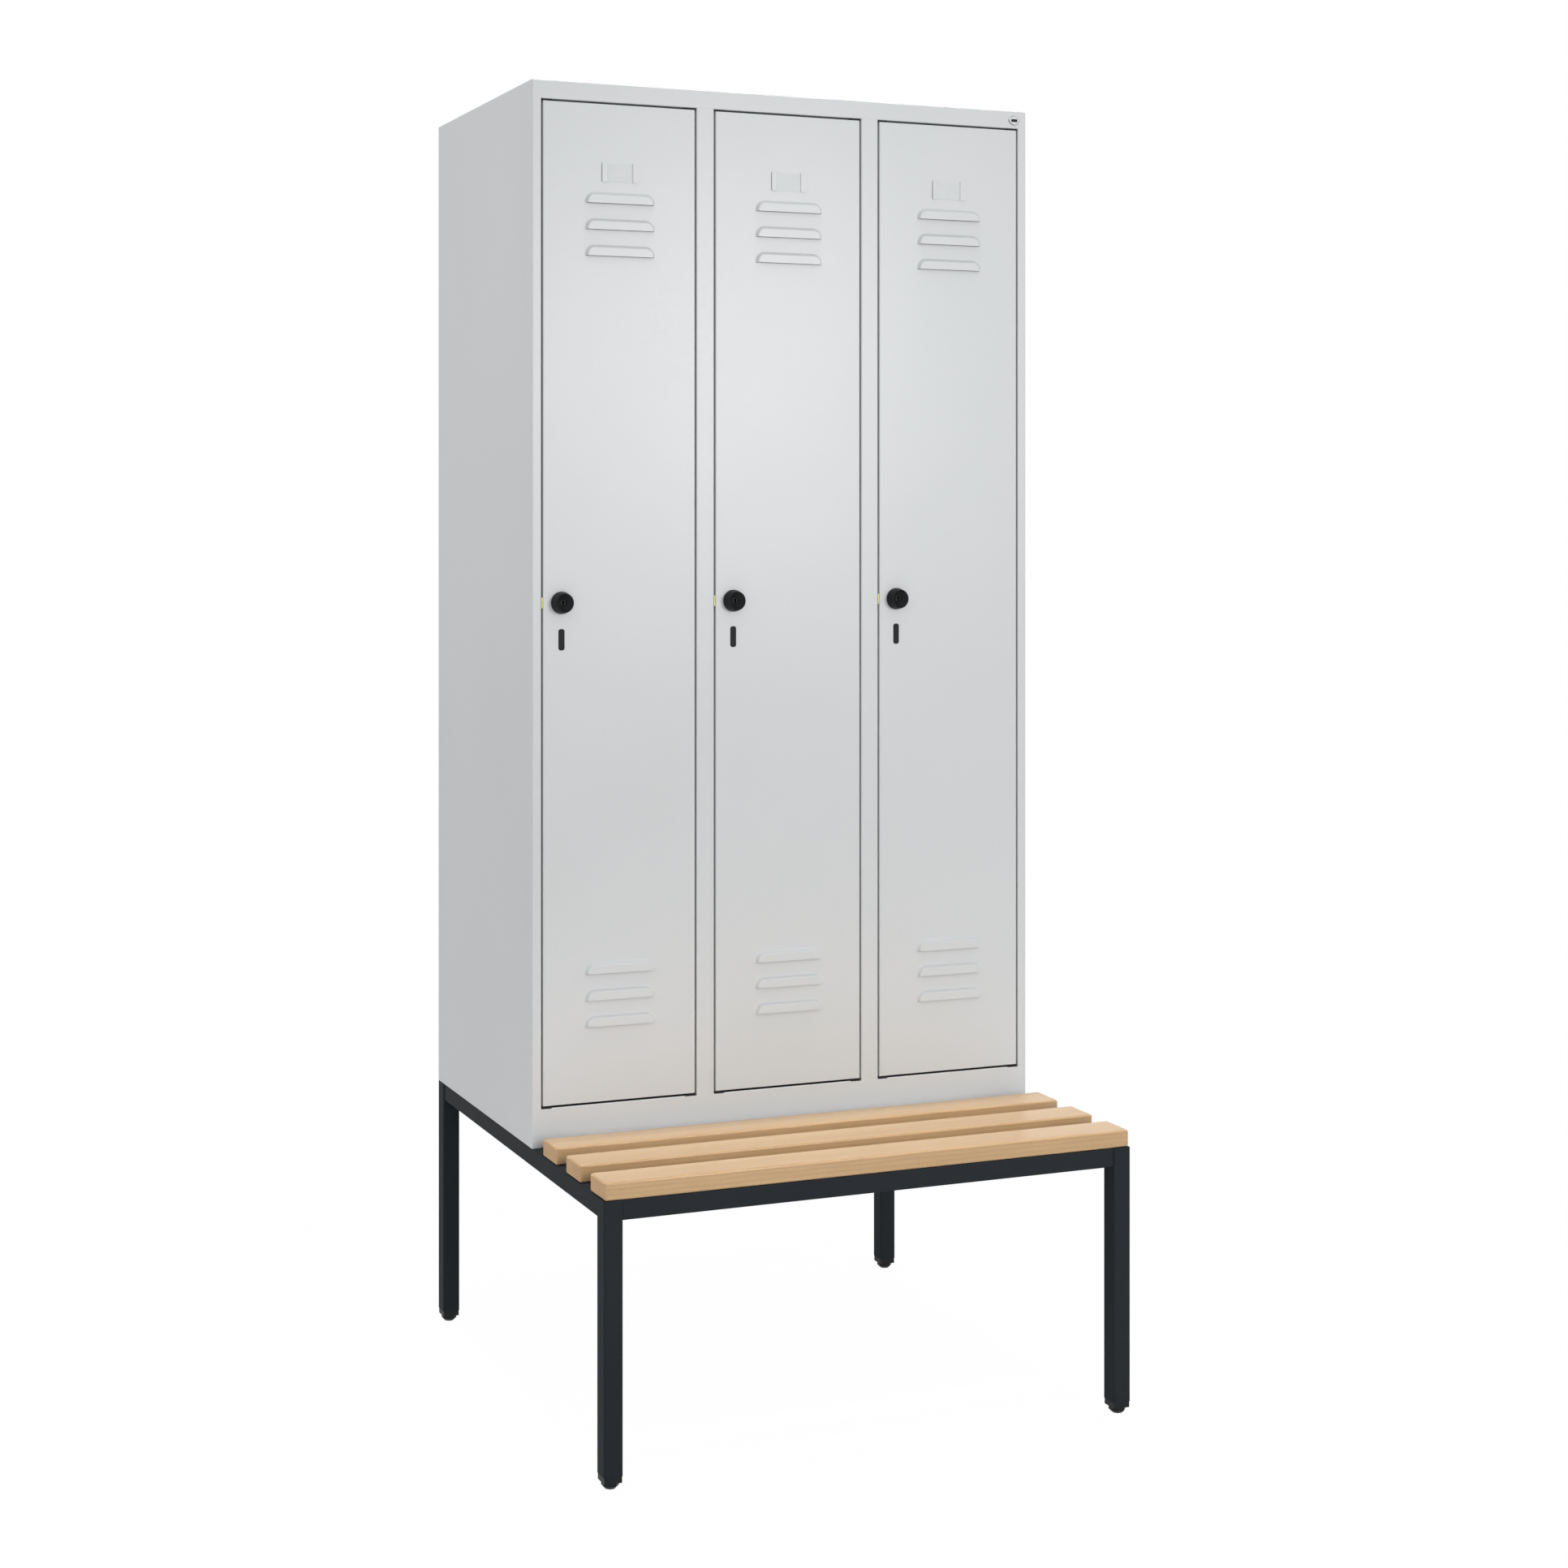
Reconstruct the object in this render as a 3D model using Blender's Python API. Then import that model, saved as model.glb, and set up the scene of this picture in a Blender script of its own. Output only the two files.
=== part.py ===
"""Locker with bench: a folded steel cabinet of three compartments on a square tube frame.

Metres, +Z up, the front faces -Y. The origin is on the floor, under the middle of the frame.
Sheet pieces are outlines of folded sheet, extruded. Each door and what it carries is modelled
once, around its own hinge or lock axis, and placed in every compartment.
"""

import math

import bmesh
import bpy
from mathutils import Matrix, Vector

# Driving dimensions
CABINET_WIDTH = 0.900
CABINET_DEPTH = 0.500
CABINET_HEIGHT = 1.700
FRAME_DEPTH = 0.815
FRAME_HEIGHT = 0.425
SHEET = 0.001
FIT = 0.0003
OVERRUN = 0.004
FLAT_ANGLE = math.radians(1)
SHARP_ANGLE = math.radians(35)
BAY_NAMES = ("left", "middle", "right")
SLAT_NAMES = ("front", "middle", "back")

# Cabinet body
STILE_WIDTH = 0.0155
CENTRE_STILE_WIDTH = 0.031
STILE_DEPTH = 0.022
HEADER_HEIGHT = 0.0295
SILL_HEIGHT = 0.0625
WEB_FLANGE = 0.012
FOLD_RADIUS = 0.001
FOLD_STEPS = 3

# Bench frame
TUBE = 0.030
TUBE_WALL = 0.0015
TUBE_CORNER = 0.002
TUBE_CORNER_STEPS = 2
RAIL_INSET = 0.002
LEG_TOP_PLATE = 0.003
FOOT_RIM_HEIGHT = 0.009
FOOT_RIM_INSET = 0.0008
FOOT_PLUG_HEIGHT = 0.020
FOOT_PLUG_WALL = 0.003
FOOT_PAD_HEIGHT = 0.010
FOOT_PAD_WIDTH = 0.0245
FOOT_PAD_CHAMFER = 0.0045
FOOT_PAD_SIDES = 8

# Seat slats
SLAT_WIDTH = 0.062
SLAT_THICKNESS = 0.027
SLAT_END_INSET = 0.002
SLAT_FRONT_INSET = 0.001
SLAT_BACK_INSET = 0.002
SLAT_EDGE_RADIUS = 0.0035
SLAT_EDGE_STEPS = 2

# Doors
DOOR_GAP = 0.003
DOOR_DEPTH = 0.018
DOOR_EDGE_RADIUS = 0.0015
DOOR_EDGE_STEPS = 2
PIVOT_INSET = 0.012
PIVOT_SETBACK = 0.008

# Pressed louvres
LOUVRE_WIDTH = 0.122
LOUVRE_HEIGHT = 0.018
LOUVRE_CORNER = 0.0165
LOUVRE_CORNER_STEPS = 4
LOUVRE_DEPTH = 0.0055
LOUVRE_SLOPE = 0.0055
LOUVRE_STEPS = 3
LOUVRE_HOLLOW_STEPS = 2
LOUVRE_PITCH = 0.0423
LOUVRES_IN_GROUP = 3
LOWER_LOUVRES_ABOVE_BOTTOM = 0.1638
UPPER_LOUVRES_BELOW_TOP = 0.2021
LANCE_CLEARANCE = 0.0003

# Label holder lips
LABEL_WIDTH = 0.062
LABEL_HEIGHT = 0.031
LABEL_LIP = 0.010
LABEL_POCKET = 0.0012
LABEL_LIP_SHEET = 0.0008
LABEL_BELOW_DOOR_TOP = 0.1251

# Hinge blocks and buffers
BLOCK_LENGTH = 0.020
BLOCK_SETBACK = 0.001
BLOCK_ROUND = 0.004
BLOCK_ROUND_STEPS = 3
PIN_RADIUS = 0.0035
PIN_REACH = 0.005
PIN_SIDES = 12
BUFFER_LENGTH = 0.018
BUFFER_STOP_THICKNESS = 0.0025
BUFFER_STOP_HEIGHT = 0.008

# Lock
LOCK_INSET = 0.0312
LOCK_ABOVE_DOOR_BOTTOM = 0.8015
CASE_BEHIND_AXIS = 0.018
CASE_ABOVE_AXIS = 0.025
CASE_BELOW_AXIS = 0.080
CASE_DEPTH = 0.0148
BOSS_WIDTH = 0.010
BOSS_HEIGHT = 0.0336
BOSS_BELOW_AXIS = 0.059
BOSS_PROUD = 0.0006
BOSS_CORNER = 0.0036
BOSS_STEPS = 4
BOLT_HEIGHT = 0.018
BOLT_THICKNESS = 0.004
BOLT_SETBACK = 0.009
BOLT_REST_REACH = 0.0024
BOLT_TRAVEL = 0.006
BOLT_TAIL = 0.006
BOLT_LOST_MOTION = 0.0013
STRIKE_CLEARANCE = 0.0005

# Knob and key cylinder
KNOB_RADIUS = 0.018
KNOB_FACE_RADIUS = 0.0157
KNOB_LENGTH = 0.015
KNOB_SKIRT_HEIGHT = 0.003
KNOB_RIM_ROUND = 0.001
KNOB_DISH_RADIUS = 0.0138
KNOB_DISH_DEPTH = 0.0083
KNOB_DISH_STEPS = 8
KNOB_SIDES = 24
SPINDLE_RADIUS = 0.006
SPINDLE_CLEARANCE = 0.0003
CAM_RADIUS = 0.0085
CAM_THICKNESS = 0.002
DRIVE_PIN_RADIUS = 0.0017
CYLINDER_RADIUS = 0.0055
CYLINDER_LENGTH = 0.0062
CYLINDER_SIDES = 16
KEYHOLE_HEAD_RADIUS = 0.0019
KEYHOLE_SLOT_WIDTH = 0.0022
KEYHOLE_SLOT_HEIGHT = 0.0065
KEYHOLE_DEPTH = 0.0045

# Inside each compartment
SHELF_BELOW_TOP = 0.270
SHELF_SETBACK = 0.045
SHELF_FLANGE = 0.020
RAIL_BELOW_SHELF = 0.050
RAIL_RADIUS = 0.008
RAIL_WALL = 0.0015
RAIL_CUP_RADIUS = 0.017
RAIL_CUP_THICKNESS = 0.003
RAIL_SIDES = 16
HOOK_BAND_WIDTH = 0.010
HOOK_BAND_THICKNESS = 0.003
HOOK_ARM_RADIUS = 0.023
HOOK_ARM_WIDTH = 0.006
HOOK_ARM_THICKNESS = 0.005
HOOK_ARM_DROP = 0.032
HOOK_ARM_SWEEP = math.radians(150)
HOOK_ARM_STEPS = 10

# Badge
BADGE_WIDTH = 0.021
BADGE_HEIGHT = 0.0165
BADGE_THICKNESS = 0.0012
BADGE_SIDE_INSET = 0.0233
BADGE_TOP_INSET = 0.016
BADGE_SIDES = 32
BADGE_POWER = 1.45

# Places that follow from the driving dimensions
HALF_SHEET = SHEET / 2
HALF_WIDTH = CABINET_WIDTH / 2
FRAME_FRONT = -FRAME_DEPTH / 2
BACK = FRAME_DEPTH / 2
FRONT = BACK - CABINET_DEPTH
CABINET_TOP = FRAME_HEIGHT + CABINET_HEIGHT
SILL_TOP = FRAME_HEIGHT + SILL_HEIGHT
HEADER_BOTTOM = CABINET_TOP - HEADER_HEIGHT
BAYS = len(BAY_NAMES)
OPENING_WIDTH = (CABINET_WIDTH - 2 * STILE_WIDTH - (BAYS - 1) * CENTRE_STILE_WIDTH) / BAYS
BAY_PITCH = OPENING_WIDTH + CENTRE_STILE_WIDTH
DOOR_WIDTH = OPENING_WIDTH - 2 * DOOR_GAP
DOOR_BOTTOM = SILL_TOP + DOOR_GAP
DOOR_HEIGHT = HEADER_BOTTOM - SILL_TOP - 2 * DOOR_GAP
BACK_WALL_FACE = BACK - SHEET - FIT - SHEET
WEB_BACK = BACK_WALL_FACE - FIT
LOCK_HEIGHT = DOOR_BOTTOM + LOCK_ABOVE_DOOR_BOTTOM
SHELF_HEIGHT = CABINET_TOP - SHELF_BELOW_TOP
RAIL_HEIGHT = SHELF_HEIGHT - RAIL_BELOW_SHELF
LEG_BOTTOM = FOOT_PAD_HEIGHT + FOOT_RIM_HEIGHT
SLATS = len(SLAT_NAMES)
SEAT_DEPTH = FRONT - FRAME_FRONT - SLAT_FRONT_INSET - SLAT_BACK_INSET
SLAT_PITCH = SEAT_DEPTH / SLATS


def finish(name, red, green, blue, roughness, metallic):
    """A plain material from a colour given as 0 to 255 sRGB."""
    material = bpy.data.materials.new(name)
    material.use_nodes = True
    shader = material.node_tree.nodes["Principled BSDF"]
    linear = [((share / 255 + 0.055) / 1.055) ** 2.4 for share in (red, green, blue)]
    shader.inputs["Base Color"].default_value = (*linear, 1)
    shader.inputs["Roughness"].default_value = roughness
    shader.inputs["Metallic"].default_value = metallic
    material.diffuse_color = (*linear, 1)
    return material


def finished_mesh(bm, name):
    """Turns a bmesh into a mesh whose faces point out."""
    bmesh.ops.recalc_face_normals(bm, faces=bm.faces)
    mesh = bpy.data.meshes.new(name)
    bm.to_mesh(mesh)
    bm.free()
    return mesh


def box(low, high, name="box"):
    """A block between two corners."""
    bm = bmesh.new()
    bmesh.ops.create_cube(bm, size=1)
    low, high = Vector(low), Vector(high)
    bmesh.ops.scale(bm, vec=high - low, verts=bm.verts)
    bmesh.ops.translate(bm, vec=(low + high) / 2, verts=bm.verts)
    return finished_mesh(bm, name)


def prism(outline, axis, start, end, name="prism"):
    """Extrudes a flat outline along X, Y or Z. Its points are the other two coordinates."""
    bm = bmesh.new()
    place = "XYZ".index(axis)
    corners = []
    for first, second in outline:
        corner = [first, second]
        corner.insert(place, start)
        corners.append(bm.verts.new(corner))
    face = bm.faces.new(corners)
    grown = bmesh.ops.extrude_face_region(bm, geom=[face])["geom"]
    travel = Vector((0, 0, 0))
    travel[place] = end - start
    moved = [part for part in grown if isinstance(part, bmesh.types.BMVert)]
    bmesh.ops.translate(bm, vec=travel, verts=moved)
    return finished_mesh(bm, name)


def turned(profile, axis, sides, name="turned"):
    """Spins a closed loop of (radius, place along the axis) round the X, Y or Z axis."""
    bm = bmesh.new()
    along = "XYZ".index(axis)
    out = (along + 1) % 3
    rim = []
    for radius, place in profile:
        point = [0, 0, 0]
        point[along] = place
        point[out] = radius
        rim.append(bm.verts.new(point))
    closed = zip(rim, rim[1:] + rim[:1])
    edges = [bm.edges.new(pair) for pair in closed]
    spindle = Vector((0, 0, 0))
    spindle[along] = 1
    bmesh.ops.spin(
        bm, geom=rim + edges, cent=(0, 0, 0), axis=spindle, angle=2 * math.pi,
        steps=sides, use_merge=True, use_duplicate=False,
    )
    return finished_mesh(bm, name)


def lathe(profile, sides, name):
    """Spins an open line of (radius, y) that starts and ends on the Y axis."""
    bm = bmesh.new()
    line = [bm.verts.new((radius, y, 0)) for radius, y in profile]
    edges = [bm.edges.new(pair) for pair in zip(line, line[1:])]
    bmesh.ops.spin(
        bm, geom=line + edges, cent=(0, 0, 0), axis=(0, 1, 0), angle=2 * math.pi,
        steps=sides, use_merge=True, use_duplicate=False,
    )
    bmesh.ops.remove_doubles(bm, verts=bm.verts, dist=FIT / 10)
    bmesh.ops.dissolve_limit(bm, angle_limit=FLAT_ANGLE, verts=bm.verts, edges=bm.edges)
    return finished_mesh(bm, name)


def disc(radius, axis, start, end, sides, name="disc"):
    """A round bar centred on the X, Y or Z axis."""
    rim = [(radius * math.cos(turn), radius * math.sin(turn)) for turn in turns(sides)]
    return prism(rim, axis, start, end, name)


def turns(sides):
    """Evenly spread angles of a full turn."""
    return [2 * math.pi * side / sides for side in range(sides)]


def combined(operation, body, tools):
    """Unites or cuts meshes that share one local frame, and returns the result as a mesh."""
    scene = bpy.context.scene.collection
    helpers = [bpy.data.objects.new(body.name, mesh) for mesh in (body, *tools)]
    for helper in helpers:
        scene.objects.link(helper)
    for helper in helpers[1:]:
        step = helpers[0].modifiers.new("step", "BOOLEAN")
        step.operation = operation
        step.solver = "EXACT"
        step.object = helper
    graph = bpy.context.evaluated_depsgraph_get()
    result = bpy.data.meshes.new_from_object(helpers[0].evaluated_get(graph))
    for helper in helpers:
        bpy.data.objects.remove(helper)
    return result


def united(body, *tools):
    return combined("UNION", body, tools)


def cut(body, *tools):
    return combined("DIFFERENCE", body, tools)


def gathered(meshes):
    """Several meshes that don't touch each other, as one."""
    bm = bmesh.new()
    for mesh in meshes:
        bm.from_mesh(mesh)
    return finished_mesh(bm, meshes[0].name)


def shifted(mesh, x=0, y=0, z=0):
    """A copy of a mesh, moved."""
    copy = mesh.copy()
    copy.transform(Matrix.Translation((x, y, z)))
    return copy


def mirrored(mesh, axis):
    """A copy of a mesh, mirrored across X, Y or Z, with its faces still pointing out."""
    bm = bmesh.new()
    bm.from_mesh(mesh)
    factor = Vector((1, 1, 1))
    factor["XYZ".index(axis)] = -1
    bmesh.ops.scale(bm, vec=factor, verts=bm.verts)
    return finished_mesh(bm, mesh.name)


def put(name, mesh, material, location=(0, 0, 0), parent=None, smooth=False):
    """Makes the named object of a mesh, in its place."""
    mesh.materials.clear()
    mesh.materials.append(material)
    if smooth:
        mesh.shade_smooth()
        mesh.set_sharp_from_angle(angle=SHARP_ANGLE)
    piece = bpy.data.objects.new(name, mesh)
    bpy.context.scene.collection.objects.link(piece)
    piece.parent = parent
    piece.location = location
    return piece


def axis_empty(name, location, parent=None):
    """An empty on a joint's axis, which carries what turns or slides there."""
    empty = bpy.data.objects.new(name, None)
    empty.empty_display_size = STILE_DEPTH
    bpy.context.scene.collection.objects.link(empty)
    empty.parent = parent
    empty.location = location
    return empty


def fold_route(corners):
    """Points along the middle of a folded sheet, each with the direction to its left side."""
    corners = [Vector(corner) for corner in corners]
    route = []
    last = len(corners) - 1
    for place, corner in enumerate(corners):
        before = (corner - corners[max(place - 1, 0)]).normalized()
        after = (corners[min(place + 1, last)] - corner).normalized()
        if place in (0, last):
            ahead = after if place == 0 else before
            route.append((corner, Vector((-ahead.y, ahead.x))))
            continue
        turn = math.atan2(before.x * after.y - before.y * after.x, before.dot(after))
        side = math.copysign(1, turn)
        left = Vector((-before.y, before.x))
        centre = corner - before * FOLD_RADIUS * math.tan(abs(turn) / 2) + left * side * FOLD_RADIUS
        for step in range(FOLD_STEPS + 1):
            swing = Matrix.Rotation(turn * step / FOLD_STEPS, 2)
            spoke = swing @ (left * side)
            route.append((centre - spoke * FOLD_RADIUS, spoke * side))
    return route


def sheet_outline(corners):
    """The outline of a sheet folded along the corners, which lie in the middle of the sheet."""
    route = fold_route(corners)
    left = [point + side * HALF_SHEET for point, side in route]
    right = [point - side * HALF_SHEET for point, side in route]
    return [tuple(point) for point in left + right[::-1]]


def rounded_rectangle(low, high, radius, steps):
    """The outline of a rectangle with round corners."""
    outline = []
    middles = (
        (high[0] - radius, high[1] - radius),
        (low[0] + radius, high[1] - radius),
        (low[0] + radius, low[1] + radius),
        (high[0] - radius, low[1] + radius),
    )
    for quarter, (across, up) in enumerate(middles):
        for step in range(steps + 1):
            angle = (quarter + step / steps) * math.pi / 2
            outline.append((across + radius * math.cos(angle), up + radius * math.sin(angle)))
    return outline


def side_wall(side):
    """One side wall: rear flange, wall, front stile and its return. Side is -1 on the left."""
    wall = HALF_WIDTH - HALF_SHEET
    stile_end = HALF_WIDTH - STILE_WIDTH
    corners = (
        (side * stile_end, BACK - HALF_SHEET),
        (side * wall, BACK - HALF_SHEET),
        (side * wall, FRONT + HALF_SHEET),
        (side * (stile_end + HALF_SHEET), FRONT + HALF_SHEET),
        (side * (stile_end + HALF_SHEET), FRONT + STILE_DEPTH),
    )
    top = CABINET_TOP - SHEET - FIT
    return prism(sheet_outline(corners), "Z", FRAME_HEIGHT, top, "side_wall")


def strike_cutter(bay):
    """The slot in a stile's return that the bolt of this bay's door enters."""
    opening_left = bay_centre(bay) - OPENING_WIDTH / 2
    bolt_front = FRONT + BOLT_SETBACK
    low = (
        opening_left - SHEET - OVERRUN,
        bolt_front - STRIKE_CLEARANCE,
        LOCK_HEIGHT - BOLT_HEIGHT / 2 - STRIKE_CLEARANCE,
    )
    high = (
        opening_left + OVERRUN,
        bolt_front + BOLT_THICKNESS + STRIKE_CLEARANCE,
        LOCK_HEIGHT + BOLT_HEIGHT / 2 + STRIKE_CLEARANCE,
    )
    return box(low, high)


def corner_notch(side, front, back, bottom, top):
    """A cutter that keeps a sheet out of one side wall's stile or rear flange."""
    edges = sorted((side * (HALF_WIDTH - STILE_WIDTH - FIT), side * (HALF_WIDTH + OVERRUN)))
    return box((edges[0], front, bottom), (edges[1], back, top))


def top_panel():
    """The top, folded down to the header in front, with its return, and to a rear flange."""
    corners = (
        (BACK - HALF_SHEET, CABINET_TOP - STILE_DEPTH),
        (BACK - HALF_SHEET, CABINET_TOP - HALF_SHEET),
        (FRONT + HALF_SHEET, CABINET_TOP - HALF_SHEET),
        (FRONT + HALF_SHEET, HEADER_BOTTOM + HALF_SHEET),
        (FRONT + STILE_DEPTH, HEADER_BOTTOM + HALF_SHEET),
    )
    panel = prism(sheet_outline(corners), "X", -HALF_WIDTH, HALF_WIDTH, "top_panel")
    bottom = HEADER_BOTTOM - OVERRUN
    under = CABINET_TOP - SHEET
    left = corner_notch(-1, FRONT - OVERRUN, BACK + OVERRUN, bottom, under)
    right = corner_notch(1, FRONT - OVERRUN, BACK + OVERRUN, bottom, under)
    return cut(panel, left, right)


def floor_panel():
    """The compartment floor, folded down to the plinth in front and to its twin at the back."""
    corners = (
        (BACK - HALF_SHEET, FRAME_HEIGHT),
        (BACK - HALF_SHEET, SILL_TOP - HALF_SHEET),
        (FRONT + HALF_SHEET, SILL_TOP - HALF_SHEET),
        (FRONT + HALF_SHEET, FRAME_HEIGHT + HALF_SHEET),
        (FRONT + STILE_DEPTH, FRAME_HEIGHT + HALF_SHEET),
    )
    edge = HALF_WIDTH - SHEET - FIT
    panel = prism(sheet_outline(corners), "X", -edge, edge, "floor_panel")
    notches = []
    low = FRAME_HEIGHT - OVERRUN
    high = SILL_TOP + OVERRUN
    for side in (-1, 1):
        notches.append(corner_notch(side, FRONT - OVERRUN, FRONT + STILE_DEPTH + FIT, low, high))
        notches.append(corner_notch(side, BACK - SHEET - FIT, BACK + OVERRUN, low, high))
    return cut(panel, *notches)


def back_wall():
    edge = HALF_WIDTH - SHEET - FIT
    low = (-edge, BACK_WALL_FACE, SILL_TOP + FIT)
    high = (edge, BACK_WALL_FACE + SHEET, CABINET_TOP - SHEET - FIT)
    return box(low, high, "back_wall")


def partition():
    """A partition around its own plane: rear flange, web, and the centre stile's four folds."""
    half = CENTRE_STILE_WIDTH / 2 - HALF_SHEET
    stile_back = FRONT + STILE_DEPTH
    corners = (
        (-WEB_FLANGE, WEB_BACK - HALF_SHEET),
        (0, WEB_BACK - HALF_SHEET),
        (0, stile_back - HALF_SHEET),
        (half, stile_back - HALF_SHEET),
        (half, FRONT + HALF_SHEET),
        (-half, FRONT + HALF_SHEET),
        (-half, stile_back),
    )
    top = CABINET_TOP - SHEET - FIT
    web = prism(sheet_outline(corners), "Z", SILL_TOP + FIT, top, "partition")
    low = (-CENTRE_STILE_WIDTH, FRONT - OVERRUN, HEADER_BOTTOM - FIT)
    high = (CENTRE_STILE_WIDTH, stile_back + FIT, CABINET_TOP)
    return cut(web, box(low, high))


def bay_centre(bay):
    """X of the middle of a door opening."""
    return (bay - (BAYS - 1) / 2) * BAY_PITCH


def bay_walls(bay):
    """X of the two wall faces inside a compartment."""
    left = -HALF_WIDTH + SHEET if bay == 0 else bay_centre(bay) - BAY_PITCH / 2 + HALF_SHEET
    right = HALF_WIDTH - SHEET if bay == BAYS - 1 else bay_centre(bay) + BAY_PITCH / 2 - HALF_SHEET
    return left, right


def hat_shelf(bay):
    """The shelf over the clothes, with a flange folded down in front and at the back."""
    left, right = bay_walls(bay)
    front = FRONT + SHELF_SETBACK + HALF_SHEET
    back = WEB_BACK - SHEET - FIT - HALF_SHEET
    level = SHELF_HEIGHT - HALF_SHEET
    corners = (
        (back, SHELF_HEIGHT - SHELF_FLANGE),
        (back, level),
        (front, level),
        (front, SHELF_HEIGHT - SHELF_FLANGE),
    )
    return prism(sheet_outline(corners), "X", left + FIT, right - FIT, "hat_shelf")


def clothes_rail(bay):
    """A tube across the compartment, with a round flange on each wall."""
    left, right = bay_walls(bay)
    half = (right - left) / 2 - FIT
    bore = RAIL_RADIUS - RAIL_WALL
    shoulder = half - RAIL_CUP_THICKNESS
    profile = (
        (bore, -half), (RAIL_CUP_RADIUS, -half), (RAIL_CUP_RADIUS, -shoulder),
        (RAIL_RADIUS, -shoulder), (RAIL_RADIUS, shoulder), (RAIL_CUP_RADIUS, shoulder),
        (RAIL_CUP_RADIUS, half), (bore, half),
    )
    return turned(profile, "X", RAIL_SIDES, "clothes_rail")


def arc_band(radius, width, sweep, steps):
    """The outline of a band bent to an arc that opens upwards."""
    outer = []
    inner = []
    for step in range(steps + 1):
        angle = -math.pi / 2 + sweep * (step / steps - 1 / 2)
        outer.append(((radius + width / 2) * math.cos(angle), (radius + width / 2) * math.sin(angle)))
        inner.append(((radius - width / 2) * math.cos(angle), (radius - width / 2) * math.sin(angle)))
    return outer + inner[::-1]


def coat_hook():
    """A double hook around the rail's axis: a sliding band, a shank and two upturned arms."""
    inner = RAIL_RADIUS + FIT
    outer = inner + HOOK_BAND_THICKNESS
    half = HOOK_BAND_WIDTH / 2
    band = turned(((inner, -half), (outer, -half), (outer, half), (inner, half)), "X", RAIL_SIDES)
    slice_half = HOOK_ARM_THICKNESS / 2
    arc = arc_band(HOOK_ARM_RADIUS, HOOK_ARM_WIDTH, HOOK_ARM_SWEEP, HOOK_ARM_STEPS)
    arms = shifted(prism(arc, "X", -slice_half, slice_half), z=-HOOK_ARM_DROP)
    arm_bottom = -HOOK_ARM_DROP - HOOK_ARM_RADIUS
    shank_top = -inner - HOOK_BAND_THICKNESS / 2
    half_width = HOOK_ARM_WIDTH / 2
    shank = box((-slice_half, -half_width, arm_bottom), (slice_half, half_width, shank_top))
    return united(band, shank, arms)


def tube_outline(inset=0, narrower=0):
    """The round cornered square of the frame tube, or one that lies inside it by the inset."""
    half = TUBE / 2 - inset
    across = half - narrower / 2
    radius = max(TUBE_CORNER - inset, TUBE_CORNER / 2)
    return rounded_rectangle((-across, -half), (across, half), radius, TUBE_CORNER_STEPS)


def rail(axis, length, name):
    """A rail, open at both ends: as high as a leg is wide, and narrower by its inset."""
    body = prism(tube_outline(0, RAIL_INSET), axis, -length / 2, length / 2, name)
    reach = length / 2 + OVERRUN
    return cut(body, prism(tube_outline(TUBE_WALL, RAIL_INSET), axis, -reach, reach))


def leg():
    """A leg from the foot's rim to the top of the frame, closed on top by a plate."""
    body = prism(tube_outline(), "Z", LEG_BOTTOM + FIT, FRAME_HEIGHT - FIT, "leg")
    hollow_top = FRAME_HEIGHT - LEG_TOP_PLATE
    hollow = prism(tube_outline(TUBE_WALL), "Z", LEG_BOTTOM - OVERRUN, hollow_top)
    return cut(body, hollow)


def foot():
    """A plastic insert: chamfered eight sided pad, rim under the tube, and a hollow plug in it."""
    half_turn = math.pi / FOOT_PAD_SIDES
    corner = FOOT_PAD_WIDTH / 2 / math.cos(half_turn)
    pad = bmesh.new()
    rim = bmesh.ops.create_cone(
        pad, cap_ends=True, segments=FOOT_PAD_SIDES, radius1=corner - FOOT_PAD_CHAMFER,
        radius2=corner, depth=FOOT_PAD_CHAMFER,
    )["verts"]
    bmesh.ops.rotate(pad, cent=(0, 0, 0), matrix=Matrix.Rotation(half_turn, 3, "Z"), verts=rim)
    bmesh.ops.translate(pad, vec=(0, 0, FOOT_PAD_CHAMFER / 2), verts=pad.verts)
    pad.normal_update()
    top = [face for face in pad.faces if face.normal.z > 0]
    grown = bmesh.ops.extrude_face_region(pad, geom=top)["geom"]
    moved = [part for part in grown if isinstance(part, bmesh.types.BMVert)]
    rise = FOOT_PAD_HEIGHT - FOOT_PAD_CHAMFER + FOOT_RIM_HEIGHT / 2
    bmesh.ops.translate(pad, vec=(0, 0, rise), verts=moved)
    bmesh.ops.delete(pad, geom=top, context="FACES_ONLY")
    pad = finished_mesh(pad, "foot")
    rim = prism(tube_outline(FOOT_RIM_INSET), "Z", FOOT_PAD_HEIGHT, LEG_BOTTOM)
    plug_top = LEG_BOTTOM + FOOT_PLUG_HEIGHT
    plug_inset = TUBE_WALL + FIT
    plug = prism(tube_outline(plug_inset), "Z", LEG_BOTTOM - FOOT_RIM_HEIGHT / 2, plug_top)
    hollow = prism(tube_outline(plug_inset + FOOT_PLUG_WALL), "Z", LEG_BOTTOM, plug_top + OVERRUN)
    return cut(united(pad, rim, plug), hollow)


def slat():
    """A wooden slat around its own centre line, lying on z = 0, with all its edges rounded."""
    bm = bmesh.new()
    bmesh.ops.create_cube(bm, size=1)
    length = CABINET_WIDTH - 2 * SLAT_END_INSET
    bmesh.ops.scale(bm, vec=(length, SLAT_WIDTH, SLAT_THICKNESS), verts=bm.verts)
    bmesh.ops.translate(bm, vec=(0, 0, SLAT_THICKNESS / 2), verts=bm.verts)
    bmesh.ops.bevel(
        bm, geom=bm.edges, offset=SLAT_EDGE_RADIUS, offset_type="OFFSET", affect="EDGES",
        segments=SLAT_EDGE_STEPS, profile=0.5,
    )
    return finished_mesh(bm, "slat")


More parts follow.
